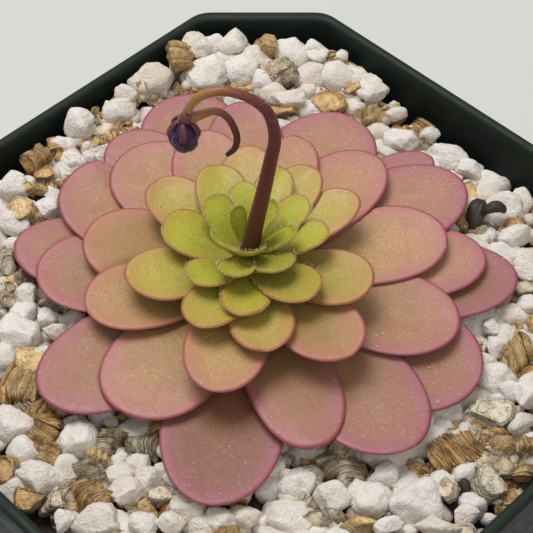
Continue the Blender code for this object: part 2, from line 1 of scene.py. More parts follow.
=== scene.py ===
"""Dresses the potted butterwort: pot, perlite and vermiculite, leaves with dew, stalk and bud.

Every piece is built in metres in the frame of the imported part. The plant and the grains are laid
out in millimetres as seen from the pot's front corner: right, away from the corner, and up.
"""

from __future__ import annotations

import logging
import math
import random
from collections.abc import Iterable, Sequence
from dataclasses import dataclass, replace
from enum import Enum

import bmesh
import bpy
from mathutils import Matrix, Vector, noise

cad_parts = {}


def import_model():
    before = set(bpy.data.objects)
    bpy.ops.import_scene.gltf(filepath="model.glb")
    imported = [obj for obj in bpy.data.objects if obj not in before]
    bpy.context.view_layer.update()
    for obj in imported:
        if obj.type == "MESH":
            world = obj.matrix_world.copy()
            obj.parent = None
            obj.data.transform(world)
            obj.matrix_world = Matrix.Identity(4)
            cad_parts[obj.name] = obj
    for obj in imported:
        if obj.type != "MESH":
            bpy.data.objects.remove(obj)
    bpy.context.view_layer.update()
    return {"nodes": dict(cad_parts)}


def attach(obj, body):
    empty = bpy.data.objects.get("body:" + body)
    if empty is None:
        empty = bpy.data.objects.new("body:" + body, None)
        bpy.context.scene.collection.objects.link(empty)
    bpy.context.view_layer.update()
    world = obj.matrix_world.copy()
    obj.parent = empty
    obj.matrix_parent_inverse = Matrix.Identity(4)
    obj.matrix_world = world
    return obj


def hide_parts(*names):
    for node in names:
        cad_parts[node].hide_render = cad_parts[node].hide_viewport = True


LOG = logging.getLogger("butterwort")
MM = 0.001
FRONT_TURN = math.radians(45)
BODY = "root"
NOISE_SEED = 11
CROWN = (-1.9, 3.6)
NOISE_SHIFT = 9.0
Colour = tuple[float, float, float]
Stops = tuple[tuple[float, Colour], ...]
Route = Sequence[tuple[float, float, float]]


class Kind(Enum):
    """The kinds of grain in the potting mix."""

    PERLITE = "p"
    GOLDEN = "v"
    GREY = "g"


@dataclass(frozen=True)
class Grain:
    """One grain that lies on top of the mix."""

    kind: Kind
    right: float
    away: float
    wide: float
    deep: float
    stand: float


@dataclass(frozen=True)
class Leaf:
    """One leaf: direction in degrees, reach, width and tip height in millimetres, and the painted shade that
    darkens it.
    """

    direction: float
    reach: float
    width: float
    tip: float
    # painted shade from 0 to 1: darkens the whole leaf where it lies in shadow
    shade: float


def from_front(right: float, away: float, height: float) -> Vector:
    """A place seen from the pot's front corner, in metres on the pot's own axes.

    Args:
        right: millimetres to the right.
        away: millimetres away from the corner.
        height: millimetres above the pot's base.

    Returns:
        The place in metres.
    """
    return (Matrix.Rotation(FRONT_TURN, 3, "Z") @ Vector((right, away, height))) * MM


def grains_of(rows: str) -> list[Grain]:
    """Reads grains from rows of kind, right, away, wide, deep and stand.

    Args:
        rows: one grain to each comma, with its values set apart by spaces.

    Returns:
        The grains in order.
    """
    found = []
    for row in rows.replace("\n", " ").split(","):
        kind, *values = row.split()
        found.append(Grain(Kind(kind), *(float(value) for value in values)))
    return found


def leaves_of(rows: str) -> list[Leaf]:
    """Reads leaves from rows of direction, reach, width, tip height and painted shade.

    Args:
        rows: one leaf to each comma, with its values set apart by spaces.

    Returns:
        The leaves, lowest first.
    """
    found = rows.replace("\n", " ").split(",")
    return [Leaf(*(float(value) for value in row.split())) for row in found]


def to_front(place: Vector) -> Vector:
    """A place on the pot's axes, in millimetres as seen from its front corner."""
    return Matrix.Rotation(-FRONT_TURN, 3, "Z") @ place / MM


def any_vector(rng: random.Random, upright: float = 1.0) -> Vector:
    """A random vector from a round cloud that is squashed or stretched upright."""
    return Vector((rng.gauss(0, 1), rng.gauss(0, 1), rng.gauss(0, upright)))


def any_shift(rng: random.Random) -> Vector:
    """A random shift of a noise pattern."""
    return Vector([rng.uniform(-NOISE_SHIFT, NOISE_SHIFT) for _ in range(3)])


def limits(bm: bmesh.types.BMesh, axis: int) -> tuple[float, float]:
    """The lowest and the highest coordinate of a mesh on one axis."""
    values = [vert.co[axis] for vert in bm.verts]
    return min(values), max(values)


def pressed(place: Vector, planes: Iterable[tuple[Vector, float]], share: float) -> Vector:
    """Presses a place back towards the planes that it stands beyond.

    Args:
        place: the place.
        planes: each plane's direction and its distance from the middle.
        share: how much of the overhang goes, from 0 to 1.

    Returns:
        The new place.
    """
    for facing, reach in planes:
        over = place.dot(facing) - reach
        if over > 0:
            place = place - facing * over * share
    return place


def next_ring(ring: Sequence[bmesh.types.BMVert], grown: Iterable[object]
              ) -> tuple[list[bmesh.types.BMVert], list[bmesh.types.BMEdge]]:
    """Sorts what an extrusion of a ring made.

    Args:
        ring: the points of the old ring, in order.
        grown: the new points, edges and faces.

    Returns:
        The new ring's points in the same order, and its edges.
    """
    grown = list(grown)
    fresh = {item for item in grown if isinstance(item, bmesh.types.BMVert)}
    edges = [item for item in grown if isinstance(item, bmesh.types.BMEdge)]
    points = []
    for vert in ring:
        ends = [edge.other_vert(vert) for edge in vert.link_edges]
        points.append(next(end for end in ends if end in fresh))
    return points, edges


class Graph:
    """Builds one material's nodes."""

    def __init__(self, name: str) -> None:
        """Starts a material with only its output and a Principled shader.

        Args:
            name: the material's name.
        """
        self.material = bpy.data.materials.new(name)
        self.material.use_nodes = True
        self.nodes = self.material.node_tree.nodes
        self.links = self.material.node_tree.links
        self.shader = self.nodes["Principled BSDF"]

    def add(self, kind: str, **settings: object) -> bpy.types.Node:
        """Adds a node and sets its properties.

        Args:
            kind: the node's type.
            **settings: the node's properties by name.

        Returns:
            The new node.
        """
        node = self.nodes.new(kind)
        for name, value in settings.items():
            setattr(node, name, value)
        return node

    def feed(self, socket: bpy.types.NodeSocket, value: object) -> None:
        """Links a socket from another, or sets its value.

        Args:
            socket: the input socket.
            value: another socket, a colour or a number.
        """
        if isinstance(value, bpy.types.NodeSocket):
            self.links.new(value, socket)
        elif isinstance(value, tuple) and len(value) == 3 and socket.type == "RGBA":
            socket.default_value = (*value, 1.0)
        else:
            socket.default_value = value

    def place(self, scale: float = 1.0) -> bpy.types.NodeSocket:
        """Object coordinates, in metres times a scale.

        Args:
            scale: the number that the metres are multiplied by.

        Returns:
            The socket with the place.
        """
        mapping = self.add("ShaderNodeMapping")
        mapping.inputs["Scale"].default_value = (scale, scale, scale)
        self.feed(mapping.inputs["Vector"], self.add("ShaderNodeTexCoord").outputs["Object"])
        return mapping.outputs["Vector"]

    def attribute(self, name: str) -> Sequence[bpy.types.NodeSocket]:
        """The three numbers of a vector attribute of the piece.

        Args:
            name: the attribute's name.

        Returns:
            Its three sockets.
        """
        parts = self.add("ShaderNodeSeparateXYZ")
        source = self.add("ShaderNodeAttribute", attribute_name=name)
        self.feed(parts.inputs[0], source.outputs["Vector"])
        return parts.outputs[:3]

    def noise(self, size_mm: float, detail: float = 3.0, rough: float = 0.55) -> bpy.types.NodeSocket:
        """A noise whose blotches are about a size across.

        Args:
            size_mm: the size of a blotch.
            detail: how many finer layers there are.
            rough: how strong the finer layers are.

        Returns:
            The socket with the noise, from 0 to 1.
        """
        node = self.add("ShaderNodeTexNoise")
        self.feed(node.inputs["Vector"], self.place(1 / (size_mm * MM)))
        node.inputs["Scale"].default_value = 1.0
        node.inputs["Detail"].default_value = detail
        node.inputs["Roughness"].default_value = rough
        return node.outputs["Fac"]

    def cells(self, size_mm: float) -> bpy.types.NodeSocket:
        """The distance to the nearest point of a cell pattern.

        Args:
            size_mm: the size of a cell.

        Returns:
            The socket with the distance, in cells.
        """
        node = self.add("ShaderNodeTexVoronoi", feature="F1")
        self.feed(node.inputs["Vector"], self.place(1 / (size_mm * MM)))
        node.inputs["Scale"].default_value = 1.0
        return node.outputs["Distance"]

    def math(self, operation: str, first: object, second: object = 0.0, clamp: bool = False
             ) -> bpy.types.NodeSocket:
        """One sum of two numbers.

        Args:
            operation: the sum's type.
            first: a socket or a number.
            second: a socket or a number.
            clamp: whether the result stays from 0 to 1.

        Returns:
            The socket with the result.
        """
        node = self.add("ShaderNodeMath", operation=operation, use_clamp=clamp)
        self.feed(node.inputs[0], first)
        self.feed(node.inputs[1], second)
        return node.outputs[0]

    def spread(self, value: object, low: float, high: float, to_low: float = 0.0, to_high: float = 1.0
               ) -> bpy.types.NodeSocket:
        """A value stretched smoothly from one range to another.

        Args:
            value: a socket or a number.
            low: the start of its range.
            high: the end of its range.
            to_low: what the start becomes.
            to_high: what the end becomes.

        Returns:
            The socket with the result.
        """
        node = self.add("ShaderNodeMapRange", interpolation_type="SMOOTHSTEP")
        for name, number in zip(("Value", "From Min", "From Max", "To Min", "To Max"),
                                (value, low, high, to_low, to_high)):
            self.feed(node.inputs[name], number)
        return node.outputs["Result"]

    def ramp(self, value: object, stops: Iterable[tuple[float, Colour]]) -> bpy.types.NodeSocket:
        """A colour ramp through stops.

        Args:
            value: the place on the ramp.
            stops: places and colours, in order.

        Returns:
            The socket with the colour.
        """
        node = self.add("ShaderNodeValToRGB")
        stops = list(stops)
        elements = node.color_ramp.elements
        while len(elements) < len(stops):
            elements.new(0.5)
        for element, (place, colour) in zip(elements, stops):
            element.position = place
            element.color = (*colour, 1.0)
        self.feed(node.inputs["Fac"], value)
        return node.outputs["Color"]

    def mix(self, share: object, first: object, second: object) -> bpy.types.NodeSocket:
        """Two colours mixed by a share.

        Args:
            share: the share of the second colour.
            first: a socket or a colour.
            second: a socket or a colour.

        Returns:
            The socket with the mixed colour.
        """
        node = self.add("ShaderNodeMix", data_type="RGBA", blend_type="MIX")
        self.feed(node.inputs[0], share)
        self.feed(node.inputs[6], first)
        self.feed(node.inputs[7], second)
        return node.outputs[2]

    def bump(self, height: object, strength: float, depth_mm: float, under: object = None
             ) -> bpy.types.NodeSocket:
        """A bump of a real depth, over another one if given.

        Args:
            height: the socket with the relief.
            strength: how much of the relief counts, from 0 to 1.
            depth_mm: the depth of the relief.
            under: a bump that this one lies on.

        Returns:
            The socket with the normal.
        """
        node = self.add("ShaderNodeBump")
        node.inputs["Strength"].default_value = strength
        node.inputs["Distance"].default_value = depth_mm * MM
        self.feed(node.inputs["Height"], height)
        if under is not None:
            self.feed(node.inputs["Normal"], under)
        return node.outputs["Normal"]

    def finish(self, **sockets: object) -> bpy.types.Material:
        """Feeds the shader's sockets, named with underscores for spaces.

        Args:
            **sockets: values by the name of the input.

        Returns:
            The finished material.
        """
        for name, value in sockets.items():
            self.feed(self.shader.inputs[name.replace("_", " ")], value)
        return self.material


@dataclass(frozen=True)
class PotPlastic:
    """Moulded dark green plastic, a little scuffed, and paler over the top of the rim."""

    deep: Colour = (0.009, 0.014, 0.011)
    paler_green: Colour = (0.017, 0.027, 0.02)

    def make(self) -> bpy.types.Material:
        """Builds the material's nodes.

        Returns:
            The material.
        """
        graph = Graph("pot_plastic")
        height = graph.add("ShaderNodeSeparateXYZ")
        graph.feed(height.inputs[0], graph.place())
        # Paler green over the top of the rim, patchy with the scuff noise.
        rim = graph.spread(height.outputs[2], 0.0735, 0.0757)
        scuff = graph.spread(graph.noise(3.0, 6.0, 0.7), 0.35, 0.75)
        patchiness = graph.math("ADD", 0.45, graph.math("MULTIPLY", scuff, 0.55))
        rim_paling = graph.math("MULTIPLY", rim, patchiness, clamp=True)
        body = graph.mix(graph.spread(graph.noise(9.0), 0.3, 0.8, 0.0, 0.35), self.deep, self.paler_green)
        colour = graph.mix(rim_paling, body, self.paler_green)
        grain = graph.bump(graph.noise(0.35, 4.0), 0.35, 0.08)
        rough = graph.spread(scuff, 0.0, 1.0, 0.48, 0.68)
        return graph.finish(Base_Color=colour, Roughness=rough, Normal=grain, Specular_IOR_Level=0.2)


@dataclass(frozen=True)
class PerliteChalk:
    """Puffed off-white perlite: chalky, finely pitted, with grey and buff stains and painted grey shade in
    the sunken lines between its crumbs.
    """

    white: Colour = (0.98, 0.93, 0.87)
    grey: Colour = (0.7, 0.65, 0.59)
    buff: Colour = (0.82, 0.68, 0.53)

    def make(self) -> bpy.types.Material:
        """Builds the material's nodes.

        Returns:
            The material.
        """
        graph = Graph("perlite_chalk")
        tone, pit, _ = graph.attribute("grain_map")
        patches = graph.noise(2.4, 5.0, 0.62)
        stained = graph.spread(graph.math("ADD", patches, graph.math("MULTIPLY", tone, 0.35)), 0.58, 0.95)
        base = graph.mix(graph.spread(graph.noise(0.8, 4.0, 0.7), 0.4, 0.75, 0.0, 0.4), self.white, self.grey)
        colour = graph.mix(graph.math("MULTIPLY", stained, 0.75), base, self.buff)
        sunk = graph.mix(graph.spread(pit, 0.05, 0.5, 0.0, 0.5), colour, self.buff)
        crumbs = graph.spread(graph.cells(0.42), 0.05, 0.6)
        # Painted shade: grey in the sunken lines between the crumbs.
        shade = graph.mix(graph.spread(crumbs, 0.4, 1.0, 0.0, 0.3), sunk, self.grey)
        coarse = graph.bump(graph.noise(0.75, 8.0, 0.72), 0.85, 0.42)
        fine = graph.bump(crumbs, 0.5, -0.14, coarse)
        return graph.finish(Base_Color=shade, Roughness=0.93, Normal=fine, Specular_IOR_Level=0.25)


@dataclass(frozen=True)
class VermiculiteFlake:
    """Layered vermiculite: thin plates on edge, painted shade in the gaps between them, and crumpled golden
    faces.
    """

    name: str
    light: Colour
    mid: Colour
    dark: Colour

    def make(self) -> bpy.types.Material:
        """Builds the material's nodes.

        Returns:
            The material.
        """
        graph = Graph(self.name)
        layer, tone, flat = graph.attribute("grain_map")
        wobble = graph.math("MULTIPLY", graph.noise(1.3, 5.0, 0.6), 1.3)
        plate = graph.math("ADD", layer, wobble)
        lines = graph.add("ShaderNodeCombineXYZ")
        graph.feed(lines.inputs[0], graph.math("MULTIPLY", plate, 3.6))
        graph.feed(lines.inputs[1], graph.math("MULTIPLY", tone, 40.0))
        strata = graph.add("ShaderNodeTexNoise")
        graph.feed(strata.inputs["Vector"], lines.outputs[0])
        strata.inputs["Scale"].default_value = 1.0
        strata.inputs["Detail"].default_value = 3.0
        strata.inputs["Roughness"].default_value = 0.7
        line = strata.outputs["Fac"]
        sides = graph.spread(flat, 0.2, 0.8, 1.0, 0.0)
        patches = graph.noise(1.5, 5.0, 0.65)
        body = graph.ramp(graph.math("ADD", patches, graph.math("MULTIPLY", tone, 0.22)),
                          ((0.34, self.dark), (0.48, self.mid), (0.74, self.light)))
        # Painted shade: the sunken gaps between the plates are darkened.
        gaps = graph.math("MULTIPLY", graph.spread(line, 0.38, 0.49, 0.92, 0.0), sides)
        pale = graph.math("MULTIPLY", graph.spread(line, 0.5, 0.62, 0.0, 0.7), sides)
        frosted = graph.mix(pale, body, self.light)
        split = graph.math("ABSOLUTE", graph.math("SUBTRACT", graph.noise(1.9, 5.0, 0.62), 0.5))
        cracks = graph.spread(split, 0.0, 0.022, 0.75, 0.0)
        # Painted shade in the gaps, together with the dark cracks.
        colour = graph.mix(graph.math("MAXIMUM", gaps, cracks), frosted, self.dark)
        sheets = graph.bump(graph.math("MULTIPLY", line, sides), 0.9, 0.5)
        crumpled = graph.bump(graph.noise(0.7, 6.0, 0.65), 0.7, 0.3, sheets)
        rough = graph.spread(patches, 0.3, 0.7, 0.38, 0.75)
        return graph.finish(Base_Color=colour, Roughness=rough, Normal=crumpled, Specular_IOR_Level=0.5)


@dataclass(frozen=True)
class MixShade:
    """The dim, crumbly mix between the grains."""

    dark: Colour = (0.045, 0.035, 0.028)
    brown: Colour = (0.16, 0.12, 0.085)

    def make(self) -> bpy.types.Material:
        """Builds the material's nodes.

        Returns:
            The material.
        """
        graph = Graph("mix_shade")
        colour = graph.mix(graph.spread(graph.noise(1.6, 5.0), 0.35, 0.75), self.dark, self.brown)
        crumbs = graph.bump(graph.noise(0.8, 5.0), 0.6, 0.4)
        return graph.finish(Base_Color=colour, Roughness=0.95, Normal=crumbs)


@dataclass(frozen=True)
class LeafSkin:
    """Fleshy leaf skin: green at the heart, pink on old leaves, with a darker rolled margin, a painted
    highlight on its lip, and painted shade on leaves that lie in shadow.
    """

    name: str = "leaf_skin"
    tips: Stops = ((0.0, (0.47, 0.58, 0.01)), (0.2, (0.49, 0.56, 0.018)), (0.36, (0.51, 0.48, 0.045)),
                   (0.56, (0.57, 0.36, 0.13)), (0.75, (0.59, 0.325, 0.19)), (1.0, (0.52, 0.26, 0.185)))
    roots: Stops = ((0.0, (0.3, 0.4, 0.01)), (0.3, (0.36, 0.37, 0.02)), (0.6, (0.4, 0.31, 0.055)),
                    (0.8, (0.44, 0.3, 0.1)), (1.0, (0.4, 0.23, 0.11)))
    blush: Stops = ((0.0, (0.45, 0.46, 0.03)), (0.3, (0.52, 0.36, 0.07)), (0.5, (0.53, 0.25, 0.13)),
                    (0.75, (0.48, 0.175, 0.185)), (1.0, (0.4, 0.135, 0.185)))
    edges: Stops = ((0.0, (0.36, 0.32, 0.03)), (0.22, (0.34, 0.17, 0.04)), (0.42, (0.34, 0.1, 0.06)),
                    (0.65, (0.33, 0.075, 0.08)), (1.0, (0.3, 0.07, 0.1)))
    rib: Colour = (0.6, 0.5, 0.12)
    dark_grain: Colour = (0.27, 0.13, 0.065)
    pale_grain: Colour = (0.88, 0.72, 0.46)
    stain: Colour = (0.36, 0.2, 0.12)
    shadow: Colour = (0.21, 0.085, 0.05)
    back: Colour = (0.42, 0.34, 0.13)

    def make(self) -> bpy.types.Material:
        """Builds the material's nodes.

        Returns:
            The material.
        """
        graph = Graph(self.name)
        along, inward, age = graph.attribute("leaf_map")
        # tone is the leaf's painted shade; side and top tell where on the leaf a point lies.
        tone, side, top = graph.attribute("leaf_shade_map")
        tips, roots = graph.ramp(age, self.tips), graph.ramp(age, self.roots)
        blush, edges = graph.ramp(age, self.blush), graph.ramp(age, self.edges)
        reach = graph.math("ADD", along, graph.math("MULTIPLY", graph.noise(5.0, 3.0), 0.3))
        body = graph.mix(graph.spread(reach, 0.4, 1.05), roots, tips)
        rib = graph.math("MULTIPLY", graph.spread(graph.math("ABSOLUTE", side), 0.0, 0.3, 0.32, 0.0),
                         graph.spread(along, 0.45, 0.95, 1.0, 0.0))
        ribbed = graph.mix(rib, body, self.rib)
        mottle = graph.spread(graph.noise(1.3, 5.0, 0.6), 0.3, 0.75)
        speck = graph.spread(graph.cells(0.36), 0.06, 0.38, 0.75, 0.0)
        grains = graph.spread(graph.noise(0.3, 3.0, 0.7), 0.36, 0.62, 0.34, 0.0)
        grainy = graph.mix(grains, ribbed, self.dark_grain)
        specked = graph.mix(graph.math("MULTIPLY", speck, mottle), grainy, self.pale_grain)
        stains = graph.spread(graph.noise(3.4, 6.0, 0.6), 0.42, 0.75, 0.0, 0.4)
        stained = graph.mix(stains, specked, self.stain)
        aged = graph.mix(graph.spread(age, 0.3, 0.8), specked, stained)
        # Painted shade: each leaf's listed shade darkens it towards the shadow colour.
        shade = graph.mix(graph.math("MULTIPLY", tone, 0.8), aged, self.shadow)
        uneven = graph.math("ADD", inward, graph.math("MULTIPLY", graph.noise(2.5, 4.0), 1.2))
        flush = graph.mix(graph.spread(uneven, 0.5, 3.4, 0.72, 0.0), shade, blush)
        rimmed = graph.mix(graph.spread(inward, 0.16, 0.4, 0.85, 0.0), flush, edges)
        # Painted highlight: a paler line of blush along the very edge of the rolled lip.
        lip_highlight = graph.mix(graph.spread(inward, 0.0, 0.12, 0.4, 0.0), rimmed, blush)
        under = graph.mix(0.5, flush, self.back)
        colour = graph.mix(top, under, lip_highlight)
        beads = graph.spread(graph.cells(0.42), 0.05, 0.3, 1.0, 0.0)
        skin = graph.bump(graph.noise(0.5, 5.0, 0.65), 0.5, 0.1)
        dewy = graph.bump(beads, 0.35, 0.05, skin)
        rough = graph.spread(graph.noise(0.8, 3.0), 0.35, 0.7, 0.4, 0.6)
        graph.shader.subsurface_method = "RANDOM_WALK"
        return graph.finish(Base_Color=colour, Roughness=rough, Normal=dewy, Specular_IOR_Level=0.36,
                            Subsurface_Weight=0.18, Subsurface_Scale=0.0008,
                            Subsurface_Radius=(1.0, 0.45, 0.2),
                            Coat_Weight=0.06, Coat_Roughness=0.25)


@dataclass(frozen=True)
class StalkSkin:
    """Fleshy stalk skin: maroon below, turning orange-brown over the arch."""

    name: str
    stops: Stops

    def make(self) -> bpy.types.Material:
        """Builds the material's nodes.

        Returns:
            The material.
        """
        graph = Graph(self.name)
        along, _, _ = graph.attribute("stalk_map")
        streak = graph.math("MULTIPLY", graph.math("SUBTRACT", graph.noise(0.9, 4.0), 0.5), 0.12)
        colour = graph.ramp(graph.math("ADD", along, streak), self.stops)
        skin = graph.bump(graph.noise(0.25, 4.0), 0.3, 0.05)
        return graph.finish(Base_Color=colour, Roughness=0.42, Normal=skin, Specular_IOR_Level=0.45,
                            Subsurface_Weight=0.1, Subsurface_Scale=0.0005, Subsurface_Radius=(1.0, 0.4, 0.2))


@dataclass(frozen=True)
class BudVelvet:
    """Near-black violet petals with lilac lights along their folds."""

    black: Colour = (0.004, 0.002, 0.008)
    violet: Colour = (0.11, 0.022, 0.2)

    def make(self) -> bpy.types.Material:
        """Builds the material's nodes.

        Returns:
            The material.
        """
        graph = Graph("bud_velvet")
        fold, _, _ = graph.attribute("bud_map")
        lit = graph.spread(fold, 0.45, 1.0)
        glow = graph.math("MULTIPLY", lit, graph.spread(graph.noise(0.9, 4.0), 0.3, 0.7))
        colour = graph.mix(glow, self.black, self.violet)
        creases = graph.bump(graph.noise(0.35, 5.0, 0.65), 0.6, 0.15)
        return graph.finish(Base_Color=colour, Roughness=0.5, Normal=creases,
                            Sheen_Weight=0.35, Sheen_Roughness=0.4, Sheen_Tint=(0.7, 0.6, 0.9, 1.0))


@dataclass(frozen=True)
class Plain:
    """A simple finish of one colour with a fine mottle, for hairs, dew and roots."""

    name: str
    colour: Colour
    shade: Colour
    rough: float

    def make(self) -> bpy.types.Material:
        """Builds the material's nodes.

        Returns:
            The material.
        """
        graph = Graph(self.name)
        colour = graph.mix(graph.noise(0.6), self.colour, self.shade)
        return graph.finish(Base_Color=colour, Roughness=self.rough)


class Heap:
    """Gathers many small meshes into one piece."""

    def __init__(self, *maps: str) -> None:
        """Starts an empty piece whose points carry the named vector maps.

        Args:
            *maps: the maps' names.
        """
        self.maps = maps
        self.whole = bmesh.new()
        for name in maps:
            self.whole.verts.layers.float_vector.new(name)

    def start(self) -> tuple[bmesh.types.BMesh, list]:
        """A new small mesh with the same maps, and those maps."""
        small = bmesh.new()
        return small, [small.verts.layers.float_vector.new(name) for name in self.maps]

    def take(self, small: bmesh.types.BMesh) -> None:
        """Adds a small mesh and frees it.

        Args:
            small: the mesh, which has the same maps.
        """
        held = bpy.data.meshes.new("held")
        small.to_mesh(held)
        small.free()
        self.whole.from_mesh(held)
        bpy.data.meshes.remove(held)

    def stamp(self, shape: bpy.types.Mesh, matrix: Matrix) -> None:
        """Adds a copy of a shape at a place.

        Args:
            shape: the shape.
            matrix: its place, turn and size.
        """
        shape.transform(matrix)
        self.whole.from_mesh(shape)
        shape.transform(matrix.inverted())

    def piece(self, name: str, material: bpy.types.Material, slot: str, nodes: Sequence[str] = (),
              crisp: float = 180.0) -> bpy.types.Object:
        """The finished piece, smooth and riding on the body.

        Args:
            name: the piece's name.
            material: its finish.
            slot: not used.
            nodes: the frame's nodes that it stands for.
            crisp: the angle in degrees from which an edge stays sharp.

        Returns:
            The object, at the origin.
        """
        mesh = bpy.data.meshes.new(name)
        self.whole.to_mesh(mesh)
        self.whole.free()
        mesh.shade_smooth()
        if crisp < 180:
            mesh.set_sharp_from_angle(angle=math.radians(crisp))
        mesh.materials.append(material)
        made = bpy.data.objects.new(name, mesh)
        bpy.context.scene.collection.objects.link(made)
        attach(made, BODY)
        if nodes:
            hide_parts(*nodes)
        LOG.info("%s: %d faces", name, len(mesh.polygons))
        return made


def softened(value: float, start: float, end: float) -> float:
    """A smooth step from 0 at start to 1 at end."""
    share = min(max((value - start) / (end - start), 0.0), 1.0)
    return share * share * (3 - 2 * share)


@dataclass
class Pot:
    """The square nursery pot, with cut corners, a band and a rounded lip."""

    side: float = 82.5
    height: float = 76.0
    foot_side: float = 61.0
    wall: float = 0.9
    floor: float = 1.8
    cut_share: float = 0.15
    ease: float = 1.6
    band_proud: float = 0.6
    band_deep: float = 6.0
    drain_radius: float = 3.4
    drain_place: float = 18.0
    drain_sides: int = 32
    arc_steps: int = 5
    lip_steps: int = 8
    lip_share: float = 0.75
    foot_round: tuple[tuple[float, float], ...] = ((1.6, 0.0), (0.5, 0.15), (0.0, 0.8))
    band_foot: float = 0.3
    band_round: tuple[tuple[int, float, float], ...] = ((1, 0.0, 0.1), (2, 0.15, 0.45), (2, 0.0, 1.0))
    throat: tuple[float, float] = (0.05, 2.0)
    middle: float = 40.0
    floor_round: tuple[float, float] = (1.4, 0.6)
    crisp: float = 40.0

    def wall_side(self, height: float) -> float:
        """The outer side of the plain wall at a height."""
        top = self.side - 2 * self.band_proud
        return self.foot_side + (top - self.foot_side) * height / self.height

    def outline(self, side: float) -> list[Vector]:
        """A square with cut corners whose bends are rounded, anticlockwise.

        Args:
            side: the side of the square in millimetres.

        Returns:
            The corner points, in millimetres.
        """
        half, cut = side / 2, side * self.cut_share
        corners = []
        for quarter in range(4):
            turn = Matrix.Rotation(math.radians(90 * quarter), 2)
            corners += [turn @ Vector((half, half - cut)), turn @ Vector((half - cut, half))]
        points = []
        for index, corner in enumerate(corners):
            before = corner + (corners[index - 1] - corner).normalized() * self.ease
            after = corner + (corners[(index + 1) % 8] - corner).normalized() * self.ease
            for step in range(self.arc_steps + 1):
                share = step / self.arc_steps
                points.append(before * (1 - share) ** 2 + corner * 2 * share * (1 - share)
                              + after * share ** 2)
        return points

    def profile(self) -> list[tuple[float, float]]:
        """Sides and heights from the foot, up the outside, over the lip and down the inside.

        Returns:
            Side and height of each ring of points, in millimetres.
        """
        band = self.height - self.band_deep
        lip = (self.side - self.wall_side(self.height) + 2 * self.wall) / 4
        levels = [(self.foot_side - inset, height) for inset, height in self.foot_round]
        levels += [(self.wall_side(step * band / 4), step * band / 4) for step in (1, 2, 3)]
        levels += [(self.wall_side(height), height) for height in (band - self.band_foot, band)]
        levels += [(self.wall_side(band) + share * self.band_proud - inset, band + rise)
                   for share, inset, rise in self.band_round]
        for step in range(self.lip_steps + 1):
            turn = math.pi * step / self.lip_steps
            levels.append((self.side - 2 * lip + 2 * lip * math.cos(turn),
                           self.height - lip * self.lip_share + lip * self.lip_share * math.sin(turn)))
        inset, deep = self.throat
        levels += [(self.side - 4 * lip - inset, self.height - deep),
                   (self.wall_side(self.middle) - 2 * self.wall, self.middle)]
        inner = self.wall_side(self.floor) - 2 * self.wall
        inset, rise = self.floor_round
        levels += [(inner, self.floor + rise), (inner - inset, self.floor)]
        return levels

    def build(self) -> bpy.types.Object:
        """The pot as one closed wall, with its drainage holes.

        Returns:
            The pot.
        """
        heap = Heap()
        bm, _ = heap.start()
        levels = self.profile()
        side, height = levels[0]
        ring = [bm.verts.new((place.x * MM, place.y * MM, height * MM)) for place in self.outline(side)]
        edges = list(bm.faces.new(ring).edges)
        for side, height in levels[1:]:
            grown = bmesh.ops.extrude_edge_only(bm, edges=edges)["geom"]
            ring, edges = next_ring(ring, grown)
            for vert, place in zip(ring, self.outline(side)):
                vert.co = Vector((place.x * MM, place.y * MM, height * MM))
        bm.faces.new(ring)
        bmesh.ops.recalc_face_normals(bm, faces=bm.faces)
        heap.take(bm)
        pot = heap.piece("nursery_pot", PotPlastic().make(), "pot_plastic", ["pot"])
        self.drain(pot)
        pot.data.set_sharp_from_angle(angle=math.radians(self.crisp))
        return pot

    def drain(self, pot: bpy.types.Object) -> None:
        """Bores the four round drainage holes.

        Args:
            pot: the pot, whose mesh is replaced by the bored one.
        """
        bm = bmesh.new()
        for x in (-self.drain_place, self.drain_place):
            for y in (-self.drain_place, self.drain_place):
                bmesh.ops.create_cone(bm, cap_ends=True, segments=self.drain_sides,
                                      radius1=self.drain_radius * MM, radius2=self.drain_radius * MM,
                                      depth=4 * self.floor * MM,
                                      matrix=Matrix.Translation(Vector((x, y, 0)) * MM))
        mesh = bpy.data.meshes.new("drains")
        bm.to_mesh(mesh)
        bm.free()
        cutter = bpy.data.objects.new("drains", mesh)
        bpy.context.scene.collection.objects.link(cutter)
        modifier = pot.modifiers.new("drains", "BOOLEAN")
        modifier.operation = "DIFFERENCE"
        modifier.object = cutter
        bpy.context.view_layer.update()
        bored = pot.evaluated_get(bpy.context.evaluated_depsgraph_get())
        cut = bpy.data.meshes.new_from_object(bored)
        pot.modifiers.clear()
        pot.data = cut
        cut.shade_smooth()
        bpy.data.objects.remove(cutter)


